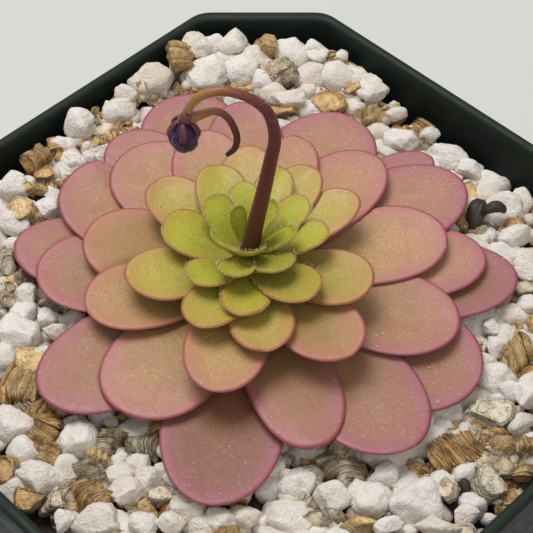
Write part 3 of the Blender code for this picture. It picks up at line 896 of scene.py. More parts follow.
GRAIN_ROWS = """
p -29.5 24.5 4 4.5 1.5, p -24.5 24 6 6.5 0.5, v -26 28 3 2.5 0, g -20.5 29 6.5 6 1, g -16 34.5 7 6 2,
g -12.5 36 2.5 3.5 1, p -12 33.5 2.5 2 0, v -11 40 4 4.5 1, p -9 42 3.5 3.5 1, p -7 38.5 6 5.5 0,
p -3 43.5 5 5 0.5, p -2.5 39 5 5 0, g 2.5 39 6.5 5.5 0.5, p 8 41 7.5 6 0.5, p 3.5 34 4.5 2.5 0,
v 9 34.5 5 4.5 0, p 14.5 37 4 4 0, v 14 33.5 6.5 2.5 0, v 18.5 33.5 5 5 0.5, v 22.5 32 3 3 0,
v 25.5 31 3.5 3.5 0, v 3 33 5 2.5 0, p 18 29 4.5 3.5 0, p 24 26 5.5 4 0.3, p 27 24 3 3 0,
p 29.5 25.5 3.5 4 0, g 31.5 21.5 3.5 3 0, p 31 17.5 6 4 0.3, p 34 18.5 3 3 0, v 35 24.5 3 3.5 0,
p 32 12.5 5 2.5 0, p 32.5 7 3.5 3 0, g 32 3.5 3 2 0, p 30.5 0 4.5 2.5 0, p 27.5 -2 2.5 2.5 0,
v 30 -6.5 4 6 0.8, p 27.5 -5.5 2.5 2.5 0, p 27.5 -9.5 5.5 3.5 0, g 26 -14.5 6 4.5 0.5,
p 30.5 -12.5 3 3.5 0, p 29.5 -16.5 3 2 0, v 22 -20 7 5 0.8, v 27 -19.5 3 2.5 0, v 30 -19.5 2.5 2 0,
p 27.5 -23.5 5 4.5 0.3, g 24 -27.5 6.5 5 0.8, p 17 -26.5 6 5 0.5, g 20.5 -25.5 2.5 2.5 0,
p 16.5 -19 5.5 4 -0.5, p 12 -26.5 4.5 4 0, p 8 -26 4 3.5 0, p 4 -24 4.5 3.5 0, g 7.5 -21.5 4 3 -0.5,
p 2.5 -28.5 5.5 4.5 0, g 7 -28.5 5 2.5 0, p -2 -28.5 3.5 2.5 0, p -4.5 -29 4 2.5 0, p -8 -27 4.5 3 0,
g -11.5 -25.5 3.5 2 0, p -15 -25.5 3.5 3.5 0, p -13 -29.5 3 3 0, p -10 -29.5 3 2.5 0,
p -18 -29.5 6.5 3.5 0.4, v -19 -26 5 3.5 0, g -19.5 -22.5 5 3 0, p -24.5 -23.5 5.5 4 0.3,
v -28.5 -22 3.5 4.5 0, v -24.5 -17.5 4 5.5 0.4, p -20.5 -18.5 4.5 4.5 0, g -17 -18.5 4.5 4 0,
g -13.5 -19 4 3 -0.5, p -12.5 -23 4 3 0, p -28.5 -16 5 4.5 0, v -28 -10.5 5.5 5 0.3,
g -27.5 -14.5 3.5 2.5 -0.3, p -28.5 -3 5.5 4 0, p -26 -1 2.5 2.5 -0.3, p -24.5 -3 3 2 -0.3,
p -28.5 3 2.5 3 0, g -31 2 2.5 2.5 0, g -25.5 1.5 3.5 2.5 -0.5, g -32 8.5 3.5 4.5 0, p -31.5 13 4 3 0,
v -29.5 14.5 4.5 3.5 0, p -27 15.5 3 3 0, g -31 19 6.5 4 0.2, v -29 22.5 4 3.5 0, v -32 22.5 3 3 0,
p -20.5 25 4 2 -0.3, v -28.5 18 4 1.5 0, v -27.5 -27 4 3 0, g -25 -27.5 3 2.5 0, g -23 -27 3 2.5 0,
v -23.5 -30.5 2.5 2 0, p -27 -31 3.5 3 0, p -21.5 -29.5 2 2.5 0, p 13.5 -30 3 2 0, v 10.5 -30 4.5 2 0,
p 19 -30 4.5 2.5 0
"""


FLAKES = (Kind.GOLDEN, Kind.GREY)
MOSTLY_GOLDEN = (Kind.GOLDEN, Kind.GOLDEN, Kind.GREY)


@dataclass(frozen=True)
class Scatter:
    """How one layer of grains is strewn, in millimetres and shares of a grain's size."""

    sizes: tuple[float, ...]
    tries: int
    least_deep: float
    flakes: tuple[Kind, ...]
    wall_gap: float
    crown_share: float
    crown_gap: float
    near_shown: tuple[float, float]
    near_own: tuple[float, float]
    stand: tuple[float, float]
    wide: tuple[float, float] = (0.85, 1.2)


TOP_FILL = Scatter(sizes=(5.5, 4.2, 3.2, 2.5), tries=6000, least_deep=0.7, flakes=FLAKES, wall_gap=0.3,
                   crown_share=0.5, crown_gap=0.0, near_shown=(0.41, 0.6), near_own=(0.41, 0.6),
                   stand=(-0.4, 0.3))
HALF_UNDER = Scatter(sizes=(4.6, 3.6, 2.8), tries=9000, least_deep=0.75, flakes=MOSTLY_GOLDEN,
                     wall_gap=0.0, crown_share=0.0, crown_gap=5.0, near_shown=(0.25, 0.3),
                     near_own=(0.36, 0.0), stand=(-1.5, -0.6))


def crowded(grain: Grain, others: Iterable[Grain], share: float, gap: float) -> bool:
    """Whether a grain lies too near another one for their sizes.

    Args:
        grain: the grain.
        others: the grains that lie already.
        share: how much of their mean size keeps them apart.
        gap: what more keeps them apart, in millimetres.

    Returns:
        True where one of the others is too near.
    """
    for other in others:
        sizes = grain.wide + grain.deep + other.wide + other.deep
        if math.dist((grain.right, grain.away), (other.right, other.away)) < share * sizes / 2 + gap:
            return True
    return False


def kind_from(rng: random.Random, flake_share: float, flakes: Sequence[Kind]) -> Kind:
    """Perlite, or for a share of the grains one of the given flakes."""
    return Kind.PERLITE if rng.random() > flake_share else rng.choice(flakes)


@dataclass(frozen=True)
class PerliteStone:
    """A puffed stone: a ball cut by soft planes, with a crumbly skin."""

    facets: int = 13
    facet_reach: tuple[float, float] = (0.28, 0.43)
    facet_share: float = 0.82
    upright: float = 0.9
    swell: float = 1.22
    lump: float = 0.15
    pit: float = 0.12
    crumb: float = 0.035
    turn: float = 0.35

    def shape(self, bm: bmesh.types.BMesh, layer: object, rng: random.Random, fineness: int) -> None:
        """Makes the stone about one unit across.

        Args:
            bm: takes the stone.
            layer: the map that notes the stone's tone and its pits.
            rng: draws the stone's form.
            fineness: how often the ball's faces are split.
        """
        bmesh.ops.create_icosphere(bm, subdivisions=fineness, radius=0.5)
        planes = [(any_vector(rng, self.upright).normalized(), rng.uniform(*self.facet_reach))
                  for _ in range(self.facets)]
        shift = any_shift(rng)
        tone = rng.random()
        for vert in bm.verts:
            place = pressed(vert.co.copy(), planes, self.facet_share)
            lump = noise.fractal(place * 2.9 + shift, 0.75, 2.1, 6)
            pit = max(0.0, noise.noise(place * 6.0 + shift))
            crumb = noise.noise(place * 13 + shift)
            vert.co = place * (self.swell + self.lump * lump - self.pit * pit + self.crumb * crumb)
            vert[layer] = Vector((tone, pit, 0))


@dataclass(frozen=True)
class FlakeBlock:
    """A block of thin plates on edge, broken off unevenly and a little fanned."""

    fan: float = 0.45
    skew: float = 0.3
    sides: int = 6
    side_turn: float = 22.0
    side_reach: tuple[float, float] = (0.34, 0.5)
    widest: float = 0.62
    slip: float = 0.04
    plate_size: tuple[float, float] = (0.9, 1.04)
    grooves: tuple[float, ...] = (0.03, 0.05, 0.08, 0.18)
    chips: int = 3
    chip_upright: float = 1.2
    chip_reach: tuple[float, float] = (0.36, 0.5)
    chip_share: float = 0.8
    ragged: float = 0.13
    ripple: float = 0.16
    warp: float = 0.09
    lays: tuple[float, ...] = (0.2, 0.75, 1.0, 1.2)
    lay_ease: float = 0.25
    spin: float = 1.5
    fill: float = 1.06
    turn: float = 0.2

    def slab(self, bm: bmesh.types.BMesh, plates: int) -> None:
        """Makes a cube with a row of faces for each plate and for each groove.

        Args:
            bm: takes the cube.
            plates: how many plates lie on each other.
        """
        bmesh.ops.create_cube(bm, size=1.0)
        flat = [edge for edge in bm.edges if abs(edge.verts[0].co.z - edge.verts[1].co.z) < 0.1]
        bmesh.ops.subdivide_edges(bm, edges=flat, cuts=5 if plates > 5 else 3, use_grid_fill=True)
        upright = [edge for edge in bm.edges if abs(edge.verts[0].co.z - edge.verts[1].co.z) > 0.5]
        bmesh.ops.subdivide_edges(bm, edges=upright, cuts=2 * plates - 1, use_grid_fill=True)

    def shape(self, bm: bmesh.types.BMesh, layer: object, rng: random.Random, plates: int) -> None:
        """Makes the block about one unit across, lying one way or another.

        Args:
            bm: takes the block.
            layer: the map that notes the plate, the block's tone and its two flat faces.
            rng: draws the block's form.
            plates: how many plates lie on each other.
        """
        self.slab(bm, plates)
        shift = any_shift(rng)
        tone = rng.random()
        fan, skew = rng.uniform(-self.fan, self.fan), rng.uniform(-self.skew, self.skew)
        walls = [(math.radians(360 / self.sides * side + rng.uniform(-self.side_turn, self.side_turn)),
                  rng.uniform(*self.side_reach)) for side in range(self.sides)]
        slips = [Vector((rng.uniform(-self.slip, self.slip), rng.uniform(-self.slip, self.slip), 0))
                 for _ in range(plates + 1)]
        sizes = [rng.uniform(*self.plate_size) for _ in range(plates + 1)]
        grooves = [rng.choice(self.grooves) for _ in range(plates + 1)]
        chips = [(any_vector(rng, self.chip_upright).normalized(), rng.uniform(*self.chip_reach))
                 for _ in range(self.chips)]
        for vert in bm.verts:
            level = min(max(round((vert.co.z + 0.5) * 2 * plates), 0), 2 * plates)
            plate = level // 2
            turn = math.atan2(vert.co.y, vert.co.x)
            share = 2 * max(abs(vert.co.x), abs(vert.co.y))
            out = min(reach / max(math.cos(turn - facing), 0.05) for facing, reach in walls)
            out = min(out, self.widest) * share
            round_about = Vector((plate * 1.7, 2 * math.cos(turn), 2 * math.sin(turn)))
            out *= sizes[plate] * (1 + self.ragged * noise.noise(round_about + shift) * share)
            out *= 1 - (grooves[plate] if level % 2 else 0.0) * share
            where = Vector((out * math.cos(turn), out * math.sin(turn), vert.co.z)) + slips[plate]
            where.x = where.x * (1 + fan * where.z) + skew * where.z
            where.z += self.ripple * noise.noise(Vector((where.x * 1.6, where.y * 1.6, 0)) + shift)
            where += self.warp * noise.noise_vector(where * 1.7 + shift)
            vert.co = pressed(where, chips, self.chip_share)
            flat_face = level in (0, 2 * plates) and share < 0.99
            vert[layer] = Vector((level * 0.5, tone, 1.0 if flat_face else 0.0))
        tilt = rng.choice(self.lays) * math.pi / 2 + rng.uniform(-self.lay_ease, self.lay_ease)
        lay = Matrix.Rotation(tilt, 4, "X")
        lay = Matrix.Rotation(rng.uniform(-self.spin, self.spin), 4, "Z") @ lay
        bmesh.ops.transform(bm, matrix=lay, verts=bm.verts)
        for axis in (0, 1):
            low, high = limits(bm, axis)
            for vert in bm.verts:
                vert.co[axis] = self.fill * (vert.co[axis] - (high + low) / 2) / (high - low)


@dataclass(frozen=True)
class BarkCurl:
    """A dry scrap of bark: a thin shell bent round, with a rough face."""

    fineness: int = 4
    bend: float = 1.7
    core: float = 0.55
    thin: float = 0.16
    swell: float = 0.2
    rough: float = 0.06
    narrow: float = 0.34
    slant: float = 0.1
    spin: float = 1.5
    turn: float = 0.5

    def shape(self, bm: bmesh.types.BMesh, rng: random.Random) -> None:
        """Makes the scrap about two units across.

        Args:
            bm: takes the scrap.
            rng: draws its roughness and how it lies.
        """
        bmesh.ops.create_icosphere(bm, subdivisions=self.fineness, radius=1.0)
        shift = any_shift(rng)
        for vert in bm.verts:
            bend = vert.co.x * self.bend
            thick = self.thin + self.swell * (1 - abs(vert.co.x))
            rough = noise.fractal(vert.co * 3 + shift, 1.0, 2.0, 4)
            out = self.core + thick * vert.co.z + self.rough * rough
            vert.co = Vector((out * math.sin(bend), vert.co.y * self.narrow + self.slant * bend,
                              out * math.cos(bend)))
        spin = Matrix.Rotation(rng.uniform(-self.spin, self.spin), 4, "Z")
        bmesh.ops.transform(bm, verts=bm.verts, matrix=spin)


@dataclass
class PottingMix:
    """The gritty mix: a dim bed, the grains on top, and smaller ones between and under them."""

    pot: Pot
    leaves: list[Blade]
    seed: int = 11
    gap: float = 0.3
    bed_top: float = 69.0
    bed_cells: int = 40
    bed_under: float = 0.6
    bed_lump: float = 0.5
    wall_sink: float = 1.8
    wall_sink_from: tuple[float, float] = (-4.0, -0.5)
    grain_top: float = 72.3
    least_tall: float = 2.0
    most_tall: float = 5.0
    leaf_clear: float = 0.45
    bare_reach: float = 16.0
    spread: float = 56.0
    flake_share: float = 0.3
    corners: tuple[tuple[int, int, float], ...] = (
        (-1, 1, 0.3), (1, 1, -0.7), (-1, -1, -0.5), (1, -1, -0.5))
    banked_size: tuple[float, float] = (3.6, 5.8)
    banked_start: float = 4.0
    banked_step: float = 0.62
    banked_rise: float = 0.4
    banked_near: float = 0.3
    wall_lean: float = 0.34
    crumbs: int = 1500
    crumb_size: tuple[float, float] = (1.3, 2.8)
    crumb_deep: tuple[float, float] = (0.75, 1.0)
    crumb_stand: tuple[float, float] = (-2.5, -1.6)
    crumb_wall: float = 0.3
    crumb_crown: float = 6.0
    crumb_flakes: float = 0.4
    heap_rise: float = 4.5
    heap_start: float = 14.0
    heap_run: float = 26.0
    heap_lean: tuple[float, float] = (0.42, 0.9)
    scraps_at: tuple[tuple[float, float, float, float], ...] = (
        (27.2, 16.2, 5.2, 2.4), (29.2, 15.2, 3.2, 1.6), (-26.6, 4.9, 3.2, -0.5), (-24.4, 3.4, 2.2, -0.7),
        (-29.9, 9.9, 2.4, -0.5), (28.4, 3.2, 2.4, -0.8), (32.2, 7.6, 1.8, -0.5), (22.4, -24.3, 2.6, -1.0),
        (12.6, -22.8, 2.0, -1.2))

    def heap(self, right: float, away: float) -> float:
        """How far the mix stands above its level at the front."""
        share = (self.heap_lean[1] * away - self.heap_lean[0] * right - self.heap_start) / self.heap_run
        return self.heap_rise * softened(share, 0.0, 1.0)

    def inside(self, right: float, away: float, margin: float) -> bool:
        """Whether a place is clear of the pot's wall.

        Args:
            right: millimetres to the right.
            away: millimetres away from the corner.
            margin: the least distance from the wall.

        Returns:
            True where the place is that far inside.
        """
        place = from_front(right, away, 0) / MM
        half = self.pot.wall_side(self.bed_top) / 2 - self.pot.wall - self.gap - margin
        corner = 2 * half - self.pot.side * self.pot.cut_share - margin * 0.4
        return max(abs(place.x), abs(place.y)) < half and abs(place.x) + abs(place.y) < corner

    def anywhere(self, rng: random.Random) -> tuple[float, float]:
        """A random place over the pot."""
        return rng.uniform(-self.spread, self.spread), rng.uniform(-self.spread, self.spread)

    def listed(self) -> list[Grain]:
        """The grains that are placed one by one and lie inside the wall."""
        return [g for g in grains_of(GRAIN_ROWS) if self.inside(g.right, g.away, max(g.wide, g.deep) / 2)]

    def scatter(self, rng: random.Random, layer: Scatter, shown: Sequence[Grain]) -> list[Grain]:
        """Strews a layer clear of the wall, of the crown, and of what lies already.

        Args:
            rng: draws the places and sizes.
            layer: how the layer is strewn.
            shown: the grains that lie there.

        Returns:
            The layer's grains.
        """
        grains: list[Grain] = []
        for size in layer.sizes:
            for _ in range(layer.tries // len(layer.sizes)):
                right, away = self.anywhere(rng)
                wide, deep = size * rng.uniform(*layer.wide), size * rng.uniform(layer.least_deep, 1.0)
                kind = kind_from(rng, self.flake_share, layer.flakes)
                grain = Grain(kind, right, away, wide, deep, 0.0)
                bare = self.bare_reach + layer.crown_share * wide + layer.crown_gap
                if not self.inside(right, away, wide / 2 + layer.wall_gap):
                    continue
                if math.dist((right, away), CROWN) < bare:
                    continue
                if crowded(grain, shown, *layer.near_shown) or crowded(grain, grains, *layer.near_own):
                    continue
                grains.append(replace(grain, stand=rng.uniform(*layer.stand)))
        return grains

    def banked(self, rng: random.Random, shown: Sequence[Grain]) -> list[Grain]:
        """Grains that lean on the four walls, highest at the back left.

        Args:
            rng: draws their sizes.
            shown: the grains that lie there.

        Returns:
            The leaning grains.
        """
        grains: list[Grain] = []
        for side, back, stand in self.corners:
            right = self.banked_start
            while right < 50:
                size = rng.uniform(*self.banked_size)
                away = 58 - right
                while away > 0 and not self.inside(side * right, back * away, self.wall_lean * size):
                    away -= 0.2
                kind = kind_from(rng, self.flake_share, MOSTLY_GOLDEN)
                rise = stand + rng.uniform(-self.banked_rise, self.banked_rise)
                grain = Grain(kind, side * right, back * away, size, size, rise)
                if away > 0 and not crowded(grain, shown, self.banked_near, 0.0):
                    grains.append(replace(grain, deep=size * rng.uniform(0.8, 1.0)))
                right += self.banked_step * size
        return grains

    def low_grains(self, rng: random.Random) -> list[Grain]:
        """Crumbs of the layer below, which show in the gaps that are left.

        Args:
            rng: draws their places and sizes.

        Returns:
            The crumbs.
        """
        grains: list[Grain] = []
        while len(grains) < self.crumbs:
            right, away = self.anywhere(rng)
            size = rng.uniform(*self.crumb_size)
            if not self.inside(right, away, size * self.crumb_wall):
                continue
            if math.dist((right, away), CROWN) < self.bare_reach + self.crumb_crown:
                continue
            kind = kind_from(rng, self.crumb_flakes, MOSTLY_GOLDEN)
            grains.append(Grain(kind, right, away, size, size * rng.uniform(*self.crumb_deep),
                                rng.uniform(*self.crumb_stand)))
        return grains

    def headroom(self, right: float, away: float, reach: float) -> float:
        """How low the outer leaves hang over a place and round it.

        Args:
            right: millimetres to the right.
            away: millimetres away from the corner.
            reach: how far round the place is looked at.

        Returns:
            The lowest height that stays clear of the leaves, or infinity where none hangs over.
        """
        places = [(right, away)]
        for eighth in range(8):
            turn = math.tau * eighth / 8
            places.append((right + reach * math.cos(turn), away + reach * math.sin(turn)))
        lowest = math.inf
        for blade in self.leaves:
            turn = Matrix.Rotation(-math.radians(blade.leaf.direction), 2)
            for place in places:
                out, side = turn @ (Vector(place) - Vector(CROWN))
                along = (out - blade.root) / (blade.leaf.reach - blade.root)
                if not 0 < along < 1.02:
                    continue
                if abs(side) < blade.half_width(along) * blade.leaf.width / 2 + self.leaf_clear:
                    lowest = min(lowest, blade.height(along, 0.0) - blade.thick - self.leaf_clear)
        return lowest

    def set_down(self, bm: bmesh.types.BMesh, grain: Grain, turn: float) -> None:
        """Scales a unit shape to its grain and sets it on its place.

        Args:
            bm: the shape.
            grain: the grain's place, size and stand.
            turn: how far it is turned, in radians.
        """
        heap = self.heap(grain.right, grain.away)
        top = self.grain_top + heap + grain.stand
        top = min(top, self.headroom(grain.right, grain.away, 0.6 * max(grain.wide, grain.deep)))
        tall = max(self.least_tall, min(0.5 * grain.wide + 0.45 * grain.deep, self.most_tall))
        low, high = limits(bm, 2)
        spin = Matrix.Rotation(turn, 3, "Z")
        for vert in bm.verts:
            flat = spin @ Vector((vert.co.x * grain.wide, vert.co.y * grain.deep, 0))
            height = top - tall * (high - vert.co.z) / (high - low)
            vert.co = from_front(grain.right + flat.x, grain.away + flat.y, height)

    def add_grain(self, heap: Heap, grain: Grain, rng: random.Random, fineness: int) -> None:
        """Shapes one grain and sets it down.

        Args:
            heap: takes the grain.
            grain: its kind, place and size.
            rng: draws its form.
            fineness: from 2 for a crumb to 4 for a grain that is seen well.
        """
        bm, (layer,) = heap.start()
        if grain.kind is Kind.PERLITE:
            form = PerliteStone()
            form.shape(bm, layer, rng, fineness)
        else:
            form = FlakeBlock()
            many = {4: max(6, round(grain.wide * 2.2)), 3: max(4, round(grain.wide * 1.6)), 2: 2}
            form.shape(bm, layer, rng, many[fineness])
        self.set_down(bm, grain, rng.uniform(-form.turn, form.turn))
        heap.take(bm)

    def scraps(self) -> None:
        """A few dark curled scraps and crumbs of bark between the grains."""
        rng = random.Random(self.seed + 9)
        heap = Heap()
        curl = BarkCurl()
        for right, away, wide, stand in self.scraps_at:
            bm, _ = heap.start()
            curl.shape(bm, rng)
            place = Grain(Kind.GREY, right, away, wide * 0.7, wide * 0.7, stand)
            self.set_down(bm, place, rng.uniform(-curl.turn, curl.turn))
            heap.take(bm)
        bark = Plain("dry_bark", (0.012, 0.009, 0.007), (0.07, 0.045, 0.03), 0.6)
        heap.piece("bark_scraps", bark.make(), "mix_grains")

    def bed(self) -> None:
        """The dim body of mix that fills the pot under its grains."""
        heap = Heap()
        bm, _ = heap.start()
        inset = 2 * (self.pot.wall + self.gap + 0.1)
        foot = self.pot.floor + self.gap
        bmesh.ops.create_grid(bm, x_segments=self.bed_cells, y_segments=self.bed_cells, size=0.5)
        side = self.pot.wall_side(self.bed_top) - inset
        cut = side * self.pot.cut_share
        for vert in bm.verts:
            x, y = vert.co.x * side, vert.co.y * side
            over = abs(x) + abs(y) - (side - cut)
            if over > 0:
                x -= math.copysign(over / 2, x)
                y -= math.copysign(over / 2, y)
            lump = noise.noise(Vector((x, y, 0)) * 0.6)
            seen = Matrix.Rotation(-FRONT_TURN, 3, "Z") @ Vector((x, y, 0))
            level = self.bed_top - self.bed_under + self.bed_lump * lump + self.heap(seen.x, seen.y)
            near_wall = max(abs(x), abs(y), (abs(x) + abs(y) + cut) / 2) - side / 2
            level -= self.wall_sink * softened(near_wall, *self.wall_sink_from)
            vert.co = Vector((x, y, level)) * MM
        rim = [edge for edge in bm.edges if edge.is_boundary]
        grown = bmesh.ops.extrude_edge_only(bm, edges=rim)["geom"]
        share = (self.pot.wall_side(foot) - inset) / side
        for item in grown:
            if isinstance(item, bmesh.types.BMVert):
                item.co = Vector((item.co.x * share, item.co.y * share, foot * MM))
        foot_edges = [item for item in grown if isinstance(item, bmesh.types.BMEdge)]
        bmesh.ops.contextual_create(bm, geom=foot_edges)
        bmesh.ops.recalc_face_normals(bm, faces=bm.faces)
        heap.take(bm)
        heap.piece("mix_bed", MixShade().make(), "mix_grains", ["potting_mix"])

    def build(self) -> None:
        """Builds the bed, the grains that show and the smaller ones between and under them."""
        self.bed()
        rng = random.Random(self.seed + 5)
        listed = self.listed()
        fill = self.scatter(random.Random(self.seed), TOP_FILL, listed)
        shown = listed + fill
        golden = VermiculiteFlake("vermiculite_golden", (0.82, 0.58, 0.29), (0.54, 0.3, 0.1),
                                  (0.1, 0.045, 0.017))
        grey = VermiculiteFlake("vermiculite_grey", (0.84, 0.74, 0.57), (0.44, 0.32, 0.19),
                                (0.07, 0.045, 0.027))
        finishes = {Kind.PERLITE: PerliteChalk().make(), Kind.GOLDEN: golden.make(), Kind.GREY: grey.make()}
        labels = {Kind.PERLITE: "perlite", Kind.GOLDEN: "golden_flake", Kind.GREY: "grey_flake"}
        between, banked = self.scatter(rng, HALF_UNDER, shown), self.banked(rng, shown)
        layers = {"grains": (listed, 4), "fill": (fill, 3), "between": (between, 3), "banked": (banked, 3),
                  "crumbs": (self.low_grains(rng), 2)}
        for layer, (grains, fineness) in layers.items():
            heaps = {kind: Heap("grain_map") for kind in Kind}
            for grain in grains:
                self.add_grain(heaps[grain.kind], grain, rng, fineness)
            for kind, label in labels.items():
                crisp = 180.0 if kind is Kind.PERLITE else 42.0
                heaps[kind].piece(f"{label}_{layer}", finishes[kind], "mix_grains", ["potting_mix"], crisp)
        self.scraps()


# The fifth value of each leaf row in these tables is its painted shade, from 0 to 1, highest on leaves that
# lie in shadow.
OUTER_ROWS = """
263.5 32.4 14.0 72.8 1, 0.5 32.8 13.0 72.6 0.7, 107 31.7 15.0 74.6 0.3, 219 29.4 13.8 73.4 0.5,
170 28.9 12.0 73.6 0.5, 64 30.0 14.5 74.0 0.2, 328.5 31.0 16.6 73.0 0.5, 41 31.0 8.8 73.4 0.35,
91 29.0 10.5 74.8 0.25, 126 28.0 12.0 74.9 0.3, 30.5 31.4 13.5 73.7 0.1, 6 29.3 12.2 73.6 0.05,
145.5 27.2 15.0 74.8 0.35, 306.5 31.3 14.2 73.6 0.5, 236 25.0 13.8 74.2 0.3,
180 25.3 13.5 74.4 0.6, 287.5 26.8 10.6 74.2 0.6, 339.5 26.4 13.0 74.4 0.35,
49 24.8 10.8 75.1 0.15, 127 24.6 13.6 75.4 0.25, 106 23.3 9.8 75.8 0.2, 72 22.0 8.2 76.0 0.2,
13 25.0 12.2 74.9 0, 167 20.2 12.3 75.7 0.5, 201 20.0 10.8 75.7 0.3"""
INNER_ROWS = """
261 20.8 9.6 77.2 0.05, 89.5 16.9 7.5 78.2 0.05, 307 19.9 9.8 77.8 0.45, 137.5 15.6 8.0 78.4 0.05,
200.5 14.9 8.5 78.2 0.05, 57 15.0 6.3 78.9 0.05, 30.5 15.6 6.9 78.9 0.05, 109.5 12.8 6.6 79.6 0.05,
279 16.1 7.8 78.6 0.05, 335.5 16.0 9.0 78.6 0.2, 167 10.2 6.8 79.8 0.05, 69 12.2 5.0 80.0 0.05,
247.5 14.0 7.0 79.2 0.05, 93 8.2 4.2 80.8 0.05, 35.5 9.0 4.6 80.8 0.05, 1 9.8 5.0 80.8 0.05,
129 7.1 4.4 80.9 0.05, 270 11.9 6.0 79.8 0.05, 309 12.2 6.8 80.2 0.3, 229 9.4 5.4 80.2 0.05"""
HEART_ROWS = """
258 7.9 4.4 81.6 0.12, 307 7.9 4.9 81.4 0.12, 47 5.1 2.7 81.9 0.12, 346 6.0 3.6 81.9 0.12,
213 4.5 3.2 82.1 0.12, 114 2.9 2.2 82.2 0.12, 277.5 4.8 3.8 82.5 0.12, 354 3.6 1.9 82.7 0.12"""


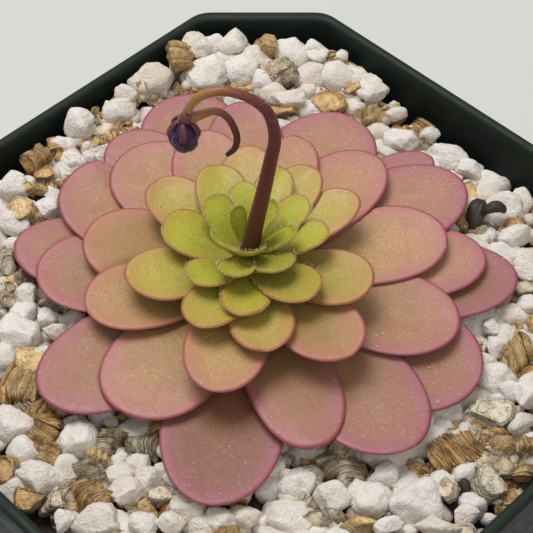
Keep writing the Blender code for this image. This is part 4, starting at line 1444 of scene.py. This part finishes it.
@dataclass
class Blade:
    """The surface of one leaf blade."""

    leaf: Leaf
    base: float
    late: float
    edge_rise: float
    whim: float
    root: float = 1.0
    widest: float = 0.64
    neck: float = 0.42
    neck_bend: float = 1.5
    tip_bend: float = 2.3
    ends: tuple[float, float] = (0.02, 0.97)
    middle: float = 0.56
    thick: float = 0.65
    crowding: float = 1.7
    margin_bend: float = 7.0
    uneven: float = 0.05
    curl: float = 0.12
    curl_wide: float = 1.3
    curl_from: tuple[float, float] = (0.15, 0.5)
    wave: float = 0.45
    press: float = 0.45
    press_reach: float = 2.0
    press_slope: float = 0.8
    oldest: float = 31.0

    @property
    def age(self) -> float:
        """How old the leaf is, from 0 at the heart to 1 on the outermost."""
        return min(max((self.leaf.reach - 4) / (self.oldest - 4), 0.0), 1.0)

    def half_width(self, along: float) -> float:
        """The half width at a share of the length.

        Args:
            along: share of the length.

        Returns:
            The half width as a share of the widest one.
        """
        along = min(max(along, 0.0), 1.0)
        if along > self.widest:
            ahead = (along - self.widest) / (1 - self.widest)
            return math.sqrt(max(0.0, 1 - ahead ** self.tip_bend))
        rise = math.sin(math.pi / 2 * along / self.widest) ** self.neck_bend
        return self.neck + (1 - self.neck) * rise

    def height(self, along: float, side: float) -> float:
        """The height of the upper face, in millimetres.

        Args:
            along: share of the length.
            side: share of the half width.

        Returns:
            The height, with neither wave nor curl.
        """
        step = math.sin(math.pi / 2 * min(max(along, 0.0), 1.0)) ** self.late
        ahead = max(0.0, (along - self.widest) / (1 - self.widest))
        toward_edge = min(1.0, side * side + ahead ** 4)
        return self.base + (self.leaf.tip - self.base) * step + self.edge_rise * toward_edge * along

    def height_near(self, right: float, away: float, reach: float) -> tuple[float, float] | None:
        """The upper face over a place on the blade or just beside it.

        Args:
            right: millimetres to the right.
            away: millimetres away from the corner.
            reach: how far beside the blade still counts.

        Returns:
            The height there and the distance to the blade, or None further off.
        """
        turn = math.radians(self.leaf.direction)
        x, y = right - CROWN[0], away - CROWN[1]
        out = x * math.cos(turn) + y * math.sin(turn)
        across = abs(y * math.cos(turn) - x * math.sin(turn))
        length = self.leaf.reach - self.root
        along = (out - self.root) / length
        past = (along - self.ends[1]) * length
        if along < self.ends[0] or past > reach:
            return None
        along = min(along, self.ends[1])
        half = self.half_width(along) * self.leaf.width / 2
        beside = math.hypot(max(0.0, across - half), max(0.0, past))
        if beside > reach:
            return None
        return self.height(along, min(1.0, across / half)), beside

    def place(self, along: float, side: float, lift: float) -> Vector:
        """A place on the blade, in metres.

        Args:
            along: share of the length.
            side: share of the half width.
            lift: millimetres above the upper face.

        Returns:
            The place in metres.
        """
        out = self.root + (self.leaf.reach - self.root) * along
        across = side * self.half_width(along) * self.leaf.width / 2
        flat = Matrix.Rotation(math.radians(self.leaf.direction), 2) @ Vector((out, across))
        height = self.height(along, side) + lift
        return from_front(CROWN[0] + flat.x, CROWN[1] + flat.y, height)

    def lies_over(self, lower: Blade) -> bool:
        """Whether this blade is the upper one where it and another cross.

        Args:
            lower: the other blade.

        Returns:
            True where this one is higher on the whole.
        """
        total = 0.0
        for row in range(3, 10):
            for side in (-0.8, -0.4, 0.0, 0.4, 0.8):
                spot = to_front(lower.place(row / 10, side, 0.0))
                found = self.height_near(spot.x, spot.y, 0.0)
                if found:
                    total += found[0] - lower.height(row / 10, side)
        return total > 0

    def tuck(self, along: float, side: float, rise: float, others: Sequence[Blade]) -> float:
        """How far a point is pressed down to stay under the leaves that cover it.

        Args:
            along: share of the length.
            side: share of the half width.
            rise: how far the point stands over the plain face.
            others: the blades that lie over this one.

        Returns:
            The shift in millimetres, zero or less.
        """
        spot = to_front(self.place(along, side, 0.0))
        own = self.height(along, side)
        shift = 0.0
        for other in others:
            found = other.height_near(spot.x, spot.y, self.press_reach)
            if found:
                over, beside = found
                allowed = over - self.press + self.press_slope * beside
                shift = min(shift, allowed - own - rise)
        return shift

    def build(self, heap: Heap, around: int, rings: int, others: Sequence[Blade]) -> None:
        """Shapes a ball into the blade, with a rounded, slightly rolled margin.

        Args:
            heap: takes the blade.
            around: faces round the margin.
            rings: rings of faces from the upper middle, over the margin, to the lower middle.
            others: the blades that lie over it.
        """
        bm, (where, tone) = heap.start()
        bmesh.ops.create_uvsphere(bm, u_segments=around, v_segments=rings, radius=1.0)
        half = self.leaf.width / 2
        length = self.leaf.reach - self.root
        for vert in bm.verts:
            down = math.acos(min(max(vert.co.z, -1.0), 1.0)) / (math.pi / 2)
            turn = math.atan2(vert.co.y, vert.co.x)
            top = down <= 1.0
            ring = 1 - (1 - (down if top else 2 - down)) ** self.crowding
            ahead = (1 - self.middle) if math.cos(turn) > 0 else self.middle
            stretch = 1 - (1 - ring) * min(1.0, half / (ahead * length)) ** (ring ** 3)
            x = stretch * math.cos(turn)
            along = self.middle + x * ahead
            chord = math.sqrt(max(1e-9, 1 - x * x))
            side = min(max(ring * math.sin(turn) / chord, -1.0), 1.0)
            inward = (1 - ring) * half
            body = self.thick / 2 * math.sqrt(max(0.0, 1 - ring ** self.margin_bend))
            curl = self.curl * (1 - softened(inward, 0.0, self.curl_wide)) * softened(along, *self.curl_from)
            wave = noise.noise(Vector((along * 1.7, side * 0.8, self.whim * 40)))
            rise = curl + self.wave * wave * along
            rise += self.tuck(along, side, rise, others)
            lift = -self.thick / 2 + (body if top else -body) + rise
            outline = noise.noise(Vector((math.cos(turn), math.sin(turn), self.whim * 60)))
            vert.co = self.place(along, side * (1 + self.uneven * outline), lift)
            vert[where] = Vector((along, inward, self.age))
            # The first value is the leaf's painted shade.
            vert[tone] = Vector((self.leaf.shade, side, 1.0 if down <= 1.02 else 0.0))
        bmesh.ops.recalc_face_normals(bm, faces=bm.faces)
        heap.take(bm)


@dataclass
class Whorl:
    """One ring of leaves with its piece of the crown's stem."""

    name: str
    node: str
    slot: str
    rows: str
    base: float
    late: float
    edge_rise: float
    around: int
    rings: int
    stem: tuple[float, float, float]
    seed: int
    climb: float = 0.05
    near_turn: float = 75.0
    stem_ease: float = 0.2

    def blades(self) -> list[Blade]:
        """The whorl's blades, lowest first.

        Returns:
            The blades.
        """
        rng = random.Random(self.seed)
        leaves = leaves_of(self.rows)
        return [Blade(leaf, self.base + self.climb * index, self.late, self.edge_rise, rng.random())
                for index, leaf in enumerate(leaves)]

    def build(self, material: bpy.types.Material, others: Sequence[Blade]) -> list[Blade]:
        """Builds the whorl as one piece and returns its blades.

        Args:
            material: the leaf skin.
            others: every blade of the plant.

        Returns:
            The whorl's own blades.
        """
        heap = Heap("leaf_map", "leaf_shade_map")
        blades = self.blades()
        for blade in blades:
            near = []
            for other in others:
                turn = (other.leaf.direction - blade.leaf.direction + 180) % 360 - 180
                if other.leaf != blade.leaf and abs(turn) < self.near_turn and other.lies_over(blade):
                    near.append(other)
            blade.build(heap, self.around, self.rings, near)
        radius, foot, top = self.stem
        bm, (where, tone) = heap.start()
        bmesh.ops.create_cone(bm, cap_ends=True, segments=24, radius1=radius * MM, radius2=radius * MM,
                              depth=(top - foot) * MM,
                              matrix=Matrix.Translation(from_front(*CROWN, (top + foot) / 2)))
        bmesh.ops.bevel(bm, geom=bm.edges[:], offset=self.stem_ease * MM, segments=2, profile=0.5,
                        material=-1, affect="EDGES")
        # The stem takes full painted shade, for the shaded heart of the rosette.
        for vert in bm.verts:
            vert[where] = Vector((0.0, 3.0, 0.3))
            vert[tone] = Vector((1.0, 0.5, 1.0))
        bmesh.ops.recalc_face_normals(bm, faces=bm.faces)
        heap.take(bm)
        heap.piece(self.name, material, self.slot, [self.node])
        return blades


OUTER_LEAVES = Whorl(name="outer_leaf_blades", node="outer_leaves", slot="leaf_pink", rows=OUTER_ROWS,
                     base=73.2, late=1.2, edge_rise=0.3, around=56, rings=18, stem=(2.2, 70.4, 73.6), seed=3)
INNER_LEAVES = Whorl(name="inner_leaf_blades", node="inner_leaves", slot="leaf_green", rows=INNER_ROWS,
                     base=76.2, late=1.35, edge_rise=0.6, around=52, rings=18, stem=(1.0, 75.0, 76.6), seed=4)
HEART_LEAVES = Whorl(name="heart_leaf_blades", node="heart_leaves", slot="leaf_lime", rows=HEART_ROWS,
                     base=78.85, late=1.8, edge_rise=0.8, around=44, rings=18, stem=(1.0, 78.3, 78.8), seed=5)


@dataclass
class Dew:
    """Sticky beads and short glandular hairs on the leaves' upper faces; the beads are painted near white as
    a painted glint.
    """

    seed: int = 23
    bead_age: float = 0.3
    beads_each: float = 0.3
    bead_spread: float = 0.28
    bead_zone: tuple[float, float] = (0.35, 0.97)
    bead_size: tuple[float, float] = (0.025, 0.058)
    big_share: float = 0.08
    big_size: float = 1.6
    ages: tuple[float, float, float] = (0.2, 0.33, 0.45)
    hairs_each: tuple[float, float, float] = (3.6, 1.5, 0.08)
    margin_hairs: tuple[int, int, int] = (14, 6, 0)
    hair_zone: tuple[float, float] = (0.3, 0.99)
    hair_tall: tuple[float, float] = (0.2, 0.45)
    old_tall: float = 0.6
    margin_tall: tuple[float, float] = (0.3, 0.55)
    lean: float = 0.5
    sunk: float = 0.05

    def bead(self) -> bpy.types.Mesh:
        """A small drop, one unit in radius.

        Returns:
            Its mesh.
        """
        bm = bmesh.new()
        bmesh.ops.create_icosphere(bm, subdivisions=1, radius=1.0)
        mesh = bpy.data.meshes.new("bead")
        bm.to_mesh(mesh)
        bm.free()
        return mesh

    def hair(self) -> bpy.types.Mesh:
        """A hair one unit tall with a small head.

        Returns:
            Its mesh.
        """
        bm = bmesh.new()
        bmesh.ops.create_cone(bm, cap_ends=False, segments=3, radius1=0.035, radius2=0.02, depth=0.9,
                              matrix=Matrix.Translation((0, 0, 0.4)))
        bmesh.ops.create_icosphere(bm, subdivisions=1, radius=0.075,
                                   matrix=Matrix.Translation((0, 0, 0.92)))
        mesh = bpy.data.meshes.new("hair")
        bm.to_mesh(mesh)
        bm.free()
        return mesh

    def plant(self, hairs: Heap, hair: bpy.types.Mesh, rng: random.Random, blade: Blade,
              spot: tuple[float, float], tall: float) -> None:
        """Stands one hair on a blade, leaning a little.

        Args:
            hairs: takes the hair.
            hair: its shape.
            rng: draws how it leans.
            blade: the blade.
            spot: shares of the length and of the half width.
            tall: its height in millimetres.
        """
        lean = Matrix.Rotation(rng.uniform(-self.lean, self.lean), 4, "X")
        lean = lean @ Matrix.Rotation(rng.uniform(-self.lean, self.lean), 4, "Y")
        foot = Matrix.Translation(blade.place(*spot, -self.sunk))
        hairs.stamp(hair, foot @ lean @ Matrix.Scale(tall * MM, 4))

    def strew(self, beads: Heap, bead: bpy.types.Mesh, rng: random.Random, blade: Blade) -> None:
        """Strews drops over one blade, most of them near its tip.

        Args:
            beads: takes the drops.
            bead: their shape.
            rng: draws their places and sizes.
            blade: the blade.
        """
        for _ in range(int(blade.leaf.reach * blade.leaf.width * self.beads_each)):
            along, side = 1 - abs(rng.gauss(0, self.bead_spread)), rng.uniform(-0.9, 0.9)
            if not self.bead_zone[0] < along < self.bead_zone[1]:
                continue
            size = rng.uniform(*self.bead_size) * (self.big_size if rng.random() < self.big_share else 1.0)
            place = blade.place(along, side, size * 0.3)
            beads.stamp(bead, Matrix.Translation(place) @ Matrix.Scale(size * MM, 4))

    def build(self, blades: Sequence[Blade]) -> None:
        """Strews beads on the older leaves and hairs on the younger ones.

        Args:
            blades: every blade of the plant.
        """
        rng = random.Random(self.seed)
        beads, hairs = Heap(), Heap()
        bead, hair = self.bead(), self.hair()
        youngest, young, middling = self.ages
        for blade in blades:
            if blade.age > self.bead_age:
                self.strew(beads, bead, rng, blade)
            many, some, few = self.hairs_each
            each = many if blade.age < youngest else some if blade.age < middling else few
            for _ in range(int(blade.leaf.reach * blade.leaf.width * each)):
                spot = (rng.uniform(*self.hair_zone), rng.uniform(-1.0, 1.0))
                tall = rng.uniform(*self.hair_tall) * (1.0 if blade.age < young else self.old_tall)
                self.plant(hairs, hair, rng, blade, spot, tall)
            many, some, few = self.margin_hairs
            each = many if blade.age < youngest else some if blade.age < young else few
            for _ in range(int(blade.leaf.reach * each)):
                spot = (1 - 0.8 * rng.random() ** 2, rng.choice((-1.0, 1.0)))
                self.plant(hairs, hair, rng, blade, spot, rng.uniform(*self.margin_tall))
        # Painted glint: the beads are near white and glossy, standing for the sparkle of clear drops.
        glint_white = Plain("dew_glint_white", (0.95, 0.91, 0.9), (0.88, 0.84, 0.84), 0.08)
        fuzz = Plain("leaf_hair", (0.94, 0.94, 0.66), (0.84, 0.86, 0.45), 0.3)
        beads.piece("leaf_dew", glint_white.make(), "leaf_pink")
        hairs.piece("leaf_hairs", fuzz.make(), "leaf_lime")
        bpy.data.meshes.remove(bead)
        bpy.data.meshes.remove(hair)


@dataclass
class Flower:
    """The stalk, calyx, bud and spur, in the plane that faces the front corner."""

    depth: float = 3.3
    bud: tuple[float, float] = (-8.5, 97.3)
    bud_radius: float = 1.75
    bud_stretch: float = 1.2
    lobes: int = 5
    lobe_depth: float = 0.05
    cup: tuple[float, float] = (-8.15, 100.05)
    cup_radius: float = 0.8
    sepals: int = 5
    sepal_clear: float = 0.02
    sepal_thick: float = 0.2
    sepal_half: float = 17.0
    sepal_from: float = 12.0
    sepal_run: float = 66.0
    sepal_lift: float = 0.15
    fold_spiral: float = 1.6
    fold_bend: float = 0.55
    fold_deep: float = 0.14
    bud_core: float = 0.88
    bud_rough: float = 0.035
    tube_sides: int = 20
    tube_steps: int = 6
    tube_ease: float = 0.12
    hairs: int = 700
    hairs_on_stalk: float = 0.7
    hairs_spread: float = 0.28
    hairs_start: int = 4
    hair_tall: tuple[float, float] = (0.25, 0.55)
    hair_seed: int = 31
    stalk: Route = (
        (-1.8, 77.85, 1.05), (-1.3, 79.6, 1.05), (-0.7, 83.5, 0.97), (0.0, 87.4, 0.9), (0.9, 93.1, 0.8),
        (1.4, 97.0, 0.72), (0.7, 100.7, 0.65), (-1.3, 102.9, 0.58), (-3.9, 103.9, 0.53),
        (-6.0, 103.5, 0.52), (-7.4, 102.3, 0.5), (-8.0, 101.0, 0.5))
    spur: Route = (
        (-7.7, 99.95, 0.62), (-6.75, 100.4, 0.55), (-5.0, 101.0, 0.44), (-3.6, 99.9, 0.42),
        (-2.75, 97.3, 0.4), (-3.0, 95.4, 0.36), (-3.9, 94.3, 0.26))
    stalk_colours: Stops = (
        (0.0, (0.035, 0.012, 0.01)), (0.08, (0.1, 0.03, 0.024)), (0.3, (0.13, 0.026, 0.026)),
        (0.56, (0.13, 0.028, 0.028)), (0.68, (0.22, 0.06, 0.035)), (0.8, (0.36, 0.15, 0.045)),
        (0.92, (0.44, 0.22, 0.05)), (1.0, (0.4, 0.17, 0.05)))
    spur_colours: Stops = (
        (0.0, (0.36, 0.15, 0.1)), (0.22, (0.38, 0.17, 0.07)), (0.42, (0.2, 0.055, 0.045)),
        (0.62, (0.1, 0.022, 0.028)), (1.0, (0.045, 0.012, 0.014)))
    sepal_colours: Stops = (
        (0.0, (0.2, 0.06, 0.07)), (0.6, (0.13, 0.035, 0.05)), (1.0, (0.08, 0.02, 0.04)))

    def smooth(self, route: Route, steps: int) -> list[tuple[Vector, float]]:
        """Points and radii along a smooth curve through a route.

        Args:
            route: places as right, height and radius.
            steps: points to each stretch.

        Returns:
            Places in metres and radii in millimetres.
        """
        rows = [Vector(row) for row in route]
        rows = [rows[0] * 2 - rows[1], *rows, rows[-1] * 2 - rows[-2]]
        found = []
        for index in range(1, len(rows) - 2):
            a, b, c, d = rows[index - 1:index + 3]
            for step in range(steps + (index == len(rows) - 3)):
                t = step / steps
                point = 0.5 * (2 * b + (c - a) * t + (2 * a - 5 * b + 4 * c - d) * t ** 2
                               + (3 * b - a - 3 * c + d) * t ** 3)
                found.append((from_front(point.x, self.depth, point.y), point.z))
        return found

    def tube(self, name: str, route: Route, material: bpy.types.Material, slot: str, node: str
             ) -> list[tuple[Vector, float]]:
        """A round tube along a route, with rounded ends, and its points.

        Args:
            name: the piece's name.
            route: places as right, height and radius.
            material: its finish.
            slot: the record's material slot.
            node: the frame's node that it stands for.

        Returns:
            The places and radii of its rings.
        """
        heap = Heap("stalk_map")
        bm, (layer,) = heap.start()
        points = self.smooth(route, self.tube_steps)
        across = Vector((0, 1, 0))
        across.rotate(Matrix.Rotation(FRONT_TURN, 3, "Z"))
        bmesh.ops.create_circle(bm, cap_ends=True, segments=self.tube_sides, radius=1.0)
        unit = [vert.co.copy() for vert in bm.verts]
        ring = list(bm.verts)
        edges = list(bm.edges)
        for index, (place, radius) in enumerate(points):
            before = points[max(index - 1, 0)][0]
            after = points[min(index + 1, len(points) - 1)][0]
            ahead = (after - before).normalized()
            sideways = ahead.cross(across).normalized()
            if index:
                grown = bmesh.ops.extrude_edge_only(bm, edges=edges)["geom"]
                ring, edges = next_ring(ring, grown)
            for vert, flat in zip(ring, unit):
                vert.co = place + (sideways * flat.x + across * flat.y) * radius * MM
                vert[layer] = Vector((index / (len(points) - 1), 0, 0))
        bm.faces.new(ring)
        ends = [edge for edge in bm.edges if any(len(face.verts) > 4 for face in edge.link_faces)]
        bmesh.ops.bevel(bm, geom=ends, offset=self.tube_ease * MM, segments=3, profile=0.5, material=-1,
                        affect="EDGES")
        bmesh.ops.recalc_face_normals(bm, faces=bm.faces)
        heap.take(bm)
        heap.piece(name, material, slot, [node])
        return points

    def petals(self) -> None:
        """The bud: petals furled round each other into a ball, with deep spiral folds."""
        heap = Heap("bud_map")
        bm, (layer,) = heap.start()
        bmesh.ops.create_uvsphere(bm, u_segments=90, v_segments=48, radius=1.0)
        centre = from_front(self.bud[0], self.depth, self.bud[1])
        for vert in bm.verts:
            level = vert.co.z
            around = math.atan2(vert.co.y, vert.co.x)
            fold = 0.5 + 0.5 * math.cos(self.lobes * around + self.fold_spiral * level)
            fold = fold ** self.fold_bend
            rough = noise.fractal(vert.co * 3.5, 1.0, 2.0, 4)
            round_share = math.sqrt(max(0.0, 1 - level * level))
            swell = self.bud_core + self.fold_deep * fold * round_share + self.bud_rough * rough
            swell = min(swell, 1.0 + self.lobe_depth)
            vert[layer] = Vector((fold, level, 0))
            shape = Vector((vert.co.x * swell, vert.co.y * swell, level * self.bud_stretch))
            vert.co = centre + shape * self.bud_radius * MM
        heap.take(bm)
        heap.piece("flower_bud_petals", BudVelvet().make(), "bud_violet", ["flower_bud"])

    def calyx(self) -> None:
        """The cup with five pointed sepals that lie over the bud's shoulders."""
        heap = Heap("stalk_map")
        bm, (layer,) = heap.start()
        bmesh.ops.create_uvsphere(bm, u_segments=24, v_segments=14, radius=self.cup_radius * MM,
                                  matrix=Matrix.Translation(from_front(self.cup[0], self.depth, self.cup[1])))
        for vert in bm.verts:
            vert[layer] = Vector((0.3, 0, 0))
        heap.take(bm)
        centre = from_front(self.bud[0], self.depth, self.bud[1])
        shell = self.bud_radius * (1 + self.lobe_depth) + self.sepal_clear
        for index in range(self.sepals):
            bm, (layer,) = heap.start()
            bmesh.ops.create_uvsphere(bm, u_segments=20, v_segments=10, radius=1.0)
            for vert in bm.verts:
                step = (vert.co.x + 1) / 2
                chord = math.sqrt(max(1e-9, 1 - vert.co.x ** 2))
                narrowing = math.sin(math.pi * min(step * 0.55 + 0.25, 1.0)) ** 0.5
                width = math.radians(self.sepal_half) * narrowing
                down = math.radians(self.sepal_from) + math.radians(self.sepal_run) * step
                around = math.tau * index / self.sepals - FRONT_TURN + vert.co.y / chord * width
                out = shell + self.sepal_thick / 2 * (1 + vert.co.z)
                vert[layer] = Vector((0.35 + 0.5 * step, 0, 0))
                vert.co = centre + Vector((out * math.sin(down) * math.cos(around),
                                           out * math.sin(down) * math.sin(around),
                                           out * self.bud_stretch * math.cos(down) + self.sepal_lift)) * MM
            bmesh.ops.recalc_face_normals(bm, faces=bm.faces)
            heap.take(bm)
        skin = StalkSkin("calyx_skin", self.sepal_colours)
        heap.piece("calyx_sepals", skin.make(), "calyx_maroon", ["calyx"])

    def fuzz(self, points: Sequence[tuple[Vector, float]]) -> None:
        """Fine pale hairs on the stalk's upper half and on the bud.

        Args:
            points: places and radii along the stalk.
        """
        rng = random.Random(self.hair_seed)
        heap = Heap()
        bm = bmesh.new()
        bmesh.ops.create_cone(bm, cap_ends=False, segments=3, radius1=0.035, radius2=0.012, depth=1.0,
                              matrix=Matrix.Translation((0, 0, 0.5)))
        hair = bpy.data.meshes.new("stalk_hair")
        bm.to_mesh(hair)
        bm.free()
        centre = from_front(self.bud[0], self.depth, self.bud[1])
        for _ in range(self.hairs):
            if rng.random() < self.hairs_on_stalk:
                index = int(len(points) * min(1 - abs(rng.gauss(0, self.hairs_spread)), 0.98))
                index = max(index, self.hairs_start)
                place, radius = points[index]
                ahead = (place - points[index - 1][0]).normalized()
                facing = any_vector(rng)
                facing = (facing - ahead * facing.dot(ahead)).normalized()
                foot = place + facing * radius * 0.9 * MM + ahead * rng.uniform(-0.4, 0.4) * MM
            else:
                facing = any_vector(rng).normalized()
                shell = Vector((facing.x, facing.y, facing.z * self.bud_stretch)) * self.bud_radius
                foot = centre + shell * 0.93 * MM
            turn = facing.to_track_quat("Z", "Y").to_matrix().to_4x4()
            size = Matrix.Scale(rng.uniform(*self.hair_tall) * MM, 4)
            heap.stamp(hair, Matrix.Translation(foot) @ turn @ size)
        pale = Plain("stalk_fuzz", (0.6, 0.5, 0.5), (0.4, 0.3, 0.34), 0.4)
        heap.piece("stalk_hairs", pale.make(), "stalk_maroon")
        bpy.data.meshes.remove(hair)

    def build(self) -> None:
        """Builds the whole flower."""
        stalk = StalkSkin("stalk_skin", self.stalk_colours)
        spur = StalkSkin("spur_skin", self.spur_colours)
        points = self.tube("flower_stalk_skin", self.stalk, stalk.make(), "stalk_maroon", "flower_stalk")
        self.tube("flower_spur_skin", self.spur, spur.make(), "spur_maroon", "flower_spur")
        self.petals()
        self.calyx()
        self.fuzz(points)


@dataclass
class Studio:
    """The pale floor, soft light and camera."""

    pitch: float = 49.2
    lens: float = 108.3
    sensor: float = 36.0
    camera_place: tuple[float, float, float] = (0.5, -121.9, 220.5)
    aim_height: float = 0.07
    overhead: tuple[float, float, float] = (-130, 150, 600)
    front_fill: tuple[float, float, float] = (220, -400, 460)
    sky: Colour = (1.0, 0.99, 0.96)
    sky_strength: float = 0.32

    def floor(self) -> None:
        """A wide pale floor."""
        bm = bmesh.new()
        bmesh.ops.create_grid(bm, x_segments=2, y_segments=2, size=4.0)
        mesh = bpy.data.meshes.new("pale_floor")
        bm.to_mesh(mesh)
        bm.free()
        graph = Graph("pale_floor")
        colour = graph.mix(graph.noise(60.0), (0.71, 0.71, 0.68), (0.74, 0.74, 0.71))
        mesh.materials.append(graph.finish(Base_Color=colour, Roughness=0.9))
        floor = bpy.data.objects.new("pale_floor", mesh)
        bpy.context.scene.collection.objects.link(floor)

    def lamp(self, name: str, place: Vector, size: float, power: float) -> None:
        """A square soft light that faces the plant.

        Args:
            name: the light's name.
            place: its place in metres.
            size: the length of its side in metres.
            power: its power in watts.
        """
        light = bpy.data.lights.new(name, "AREA")
        light.size = size
        light.energy = power
        lamp = bpy.data.objects.new(name, light)
        lamp.location = place
        lamp.rotation_euler = (Vector((0, 0, self.aim_height)) - place).to_track_quat("-Z", "Y").to_euler()
        bpy.context.scene.collection.objects.link(lamp)

    def camera(self) -> None:
        """The camera, looking down over the front corner."""
        data = bpy.data.cameras.new("camera")
        data.lens = self.lens
        data.sensor_width = self.sensor
        data.clip_start = 0.01
        camera = bpy.data.objects.new("camera", data)
        camera.location = from_front(*self.camera_place)
        camera.rotation_euler = (math.radians(90 - self.pitch), 0, FRONT_TURN)
        bpy.context.scene.collection.objects.link(camera)
        bpy.context.scene.camera = camera

    def build(self) -> None:
        """Sets up floor, lights, world and camera."""
        self.floor()
        self.lamp("overhead", from_front(*self.overhead), size=0.34, power=2.55)
        self.lamp("front_fill", from_front(*self.front_fill), size=0.7, power=0.8)
        world = bpy.data.worlds.new("studio")
        world.use_nodes = True
        background = world.node_tree.nodes["Background"]
        background.inputs["Color"].default_value = (*self.sky, 1.0)
        background.inputs["Strength"].default_value = self.sky_strength
        bpy.context.scene.world = world
        bpy.context.scene.view_settings.view_transform = "Standard"
        self.camera()


def main() -> None:
    """Builds every piece round the frame."""
    logging.basicConfig(level=logging.INFO, format="%(name)s %(message)s")
    noise.seed_set(NOISE_SEED)
    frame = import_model()
    Studio().build()
    whorls = [OUTER_LEAVES, INNER_LEAVES, HEART_LEAVES]
    pot = Pot()
    pot.build()
    PottingMix(pot, whorls[0].blades()).build()
    root_skin = Plain("root_skin", (0.66, 0.58, 0.42), (0.5, 0.4, 0.26), 0.7)
    frame["nodes"]["roots"].data.materials.clear()
    frame["nodes"]["roots"].data.materials.append(root_skin.make())
    skin = LeafSkin().make()
    blades = [blade for whorl in whorls for blade in whorl.blades()]
    for whorl in whorls:
        whorl.build(skin, blades)
    Dew().build(blades)
    Flower().build()


if __name__ == "__main__":
    main()
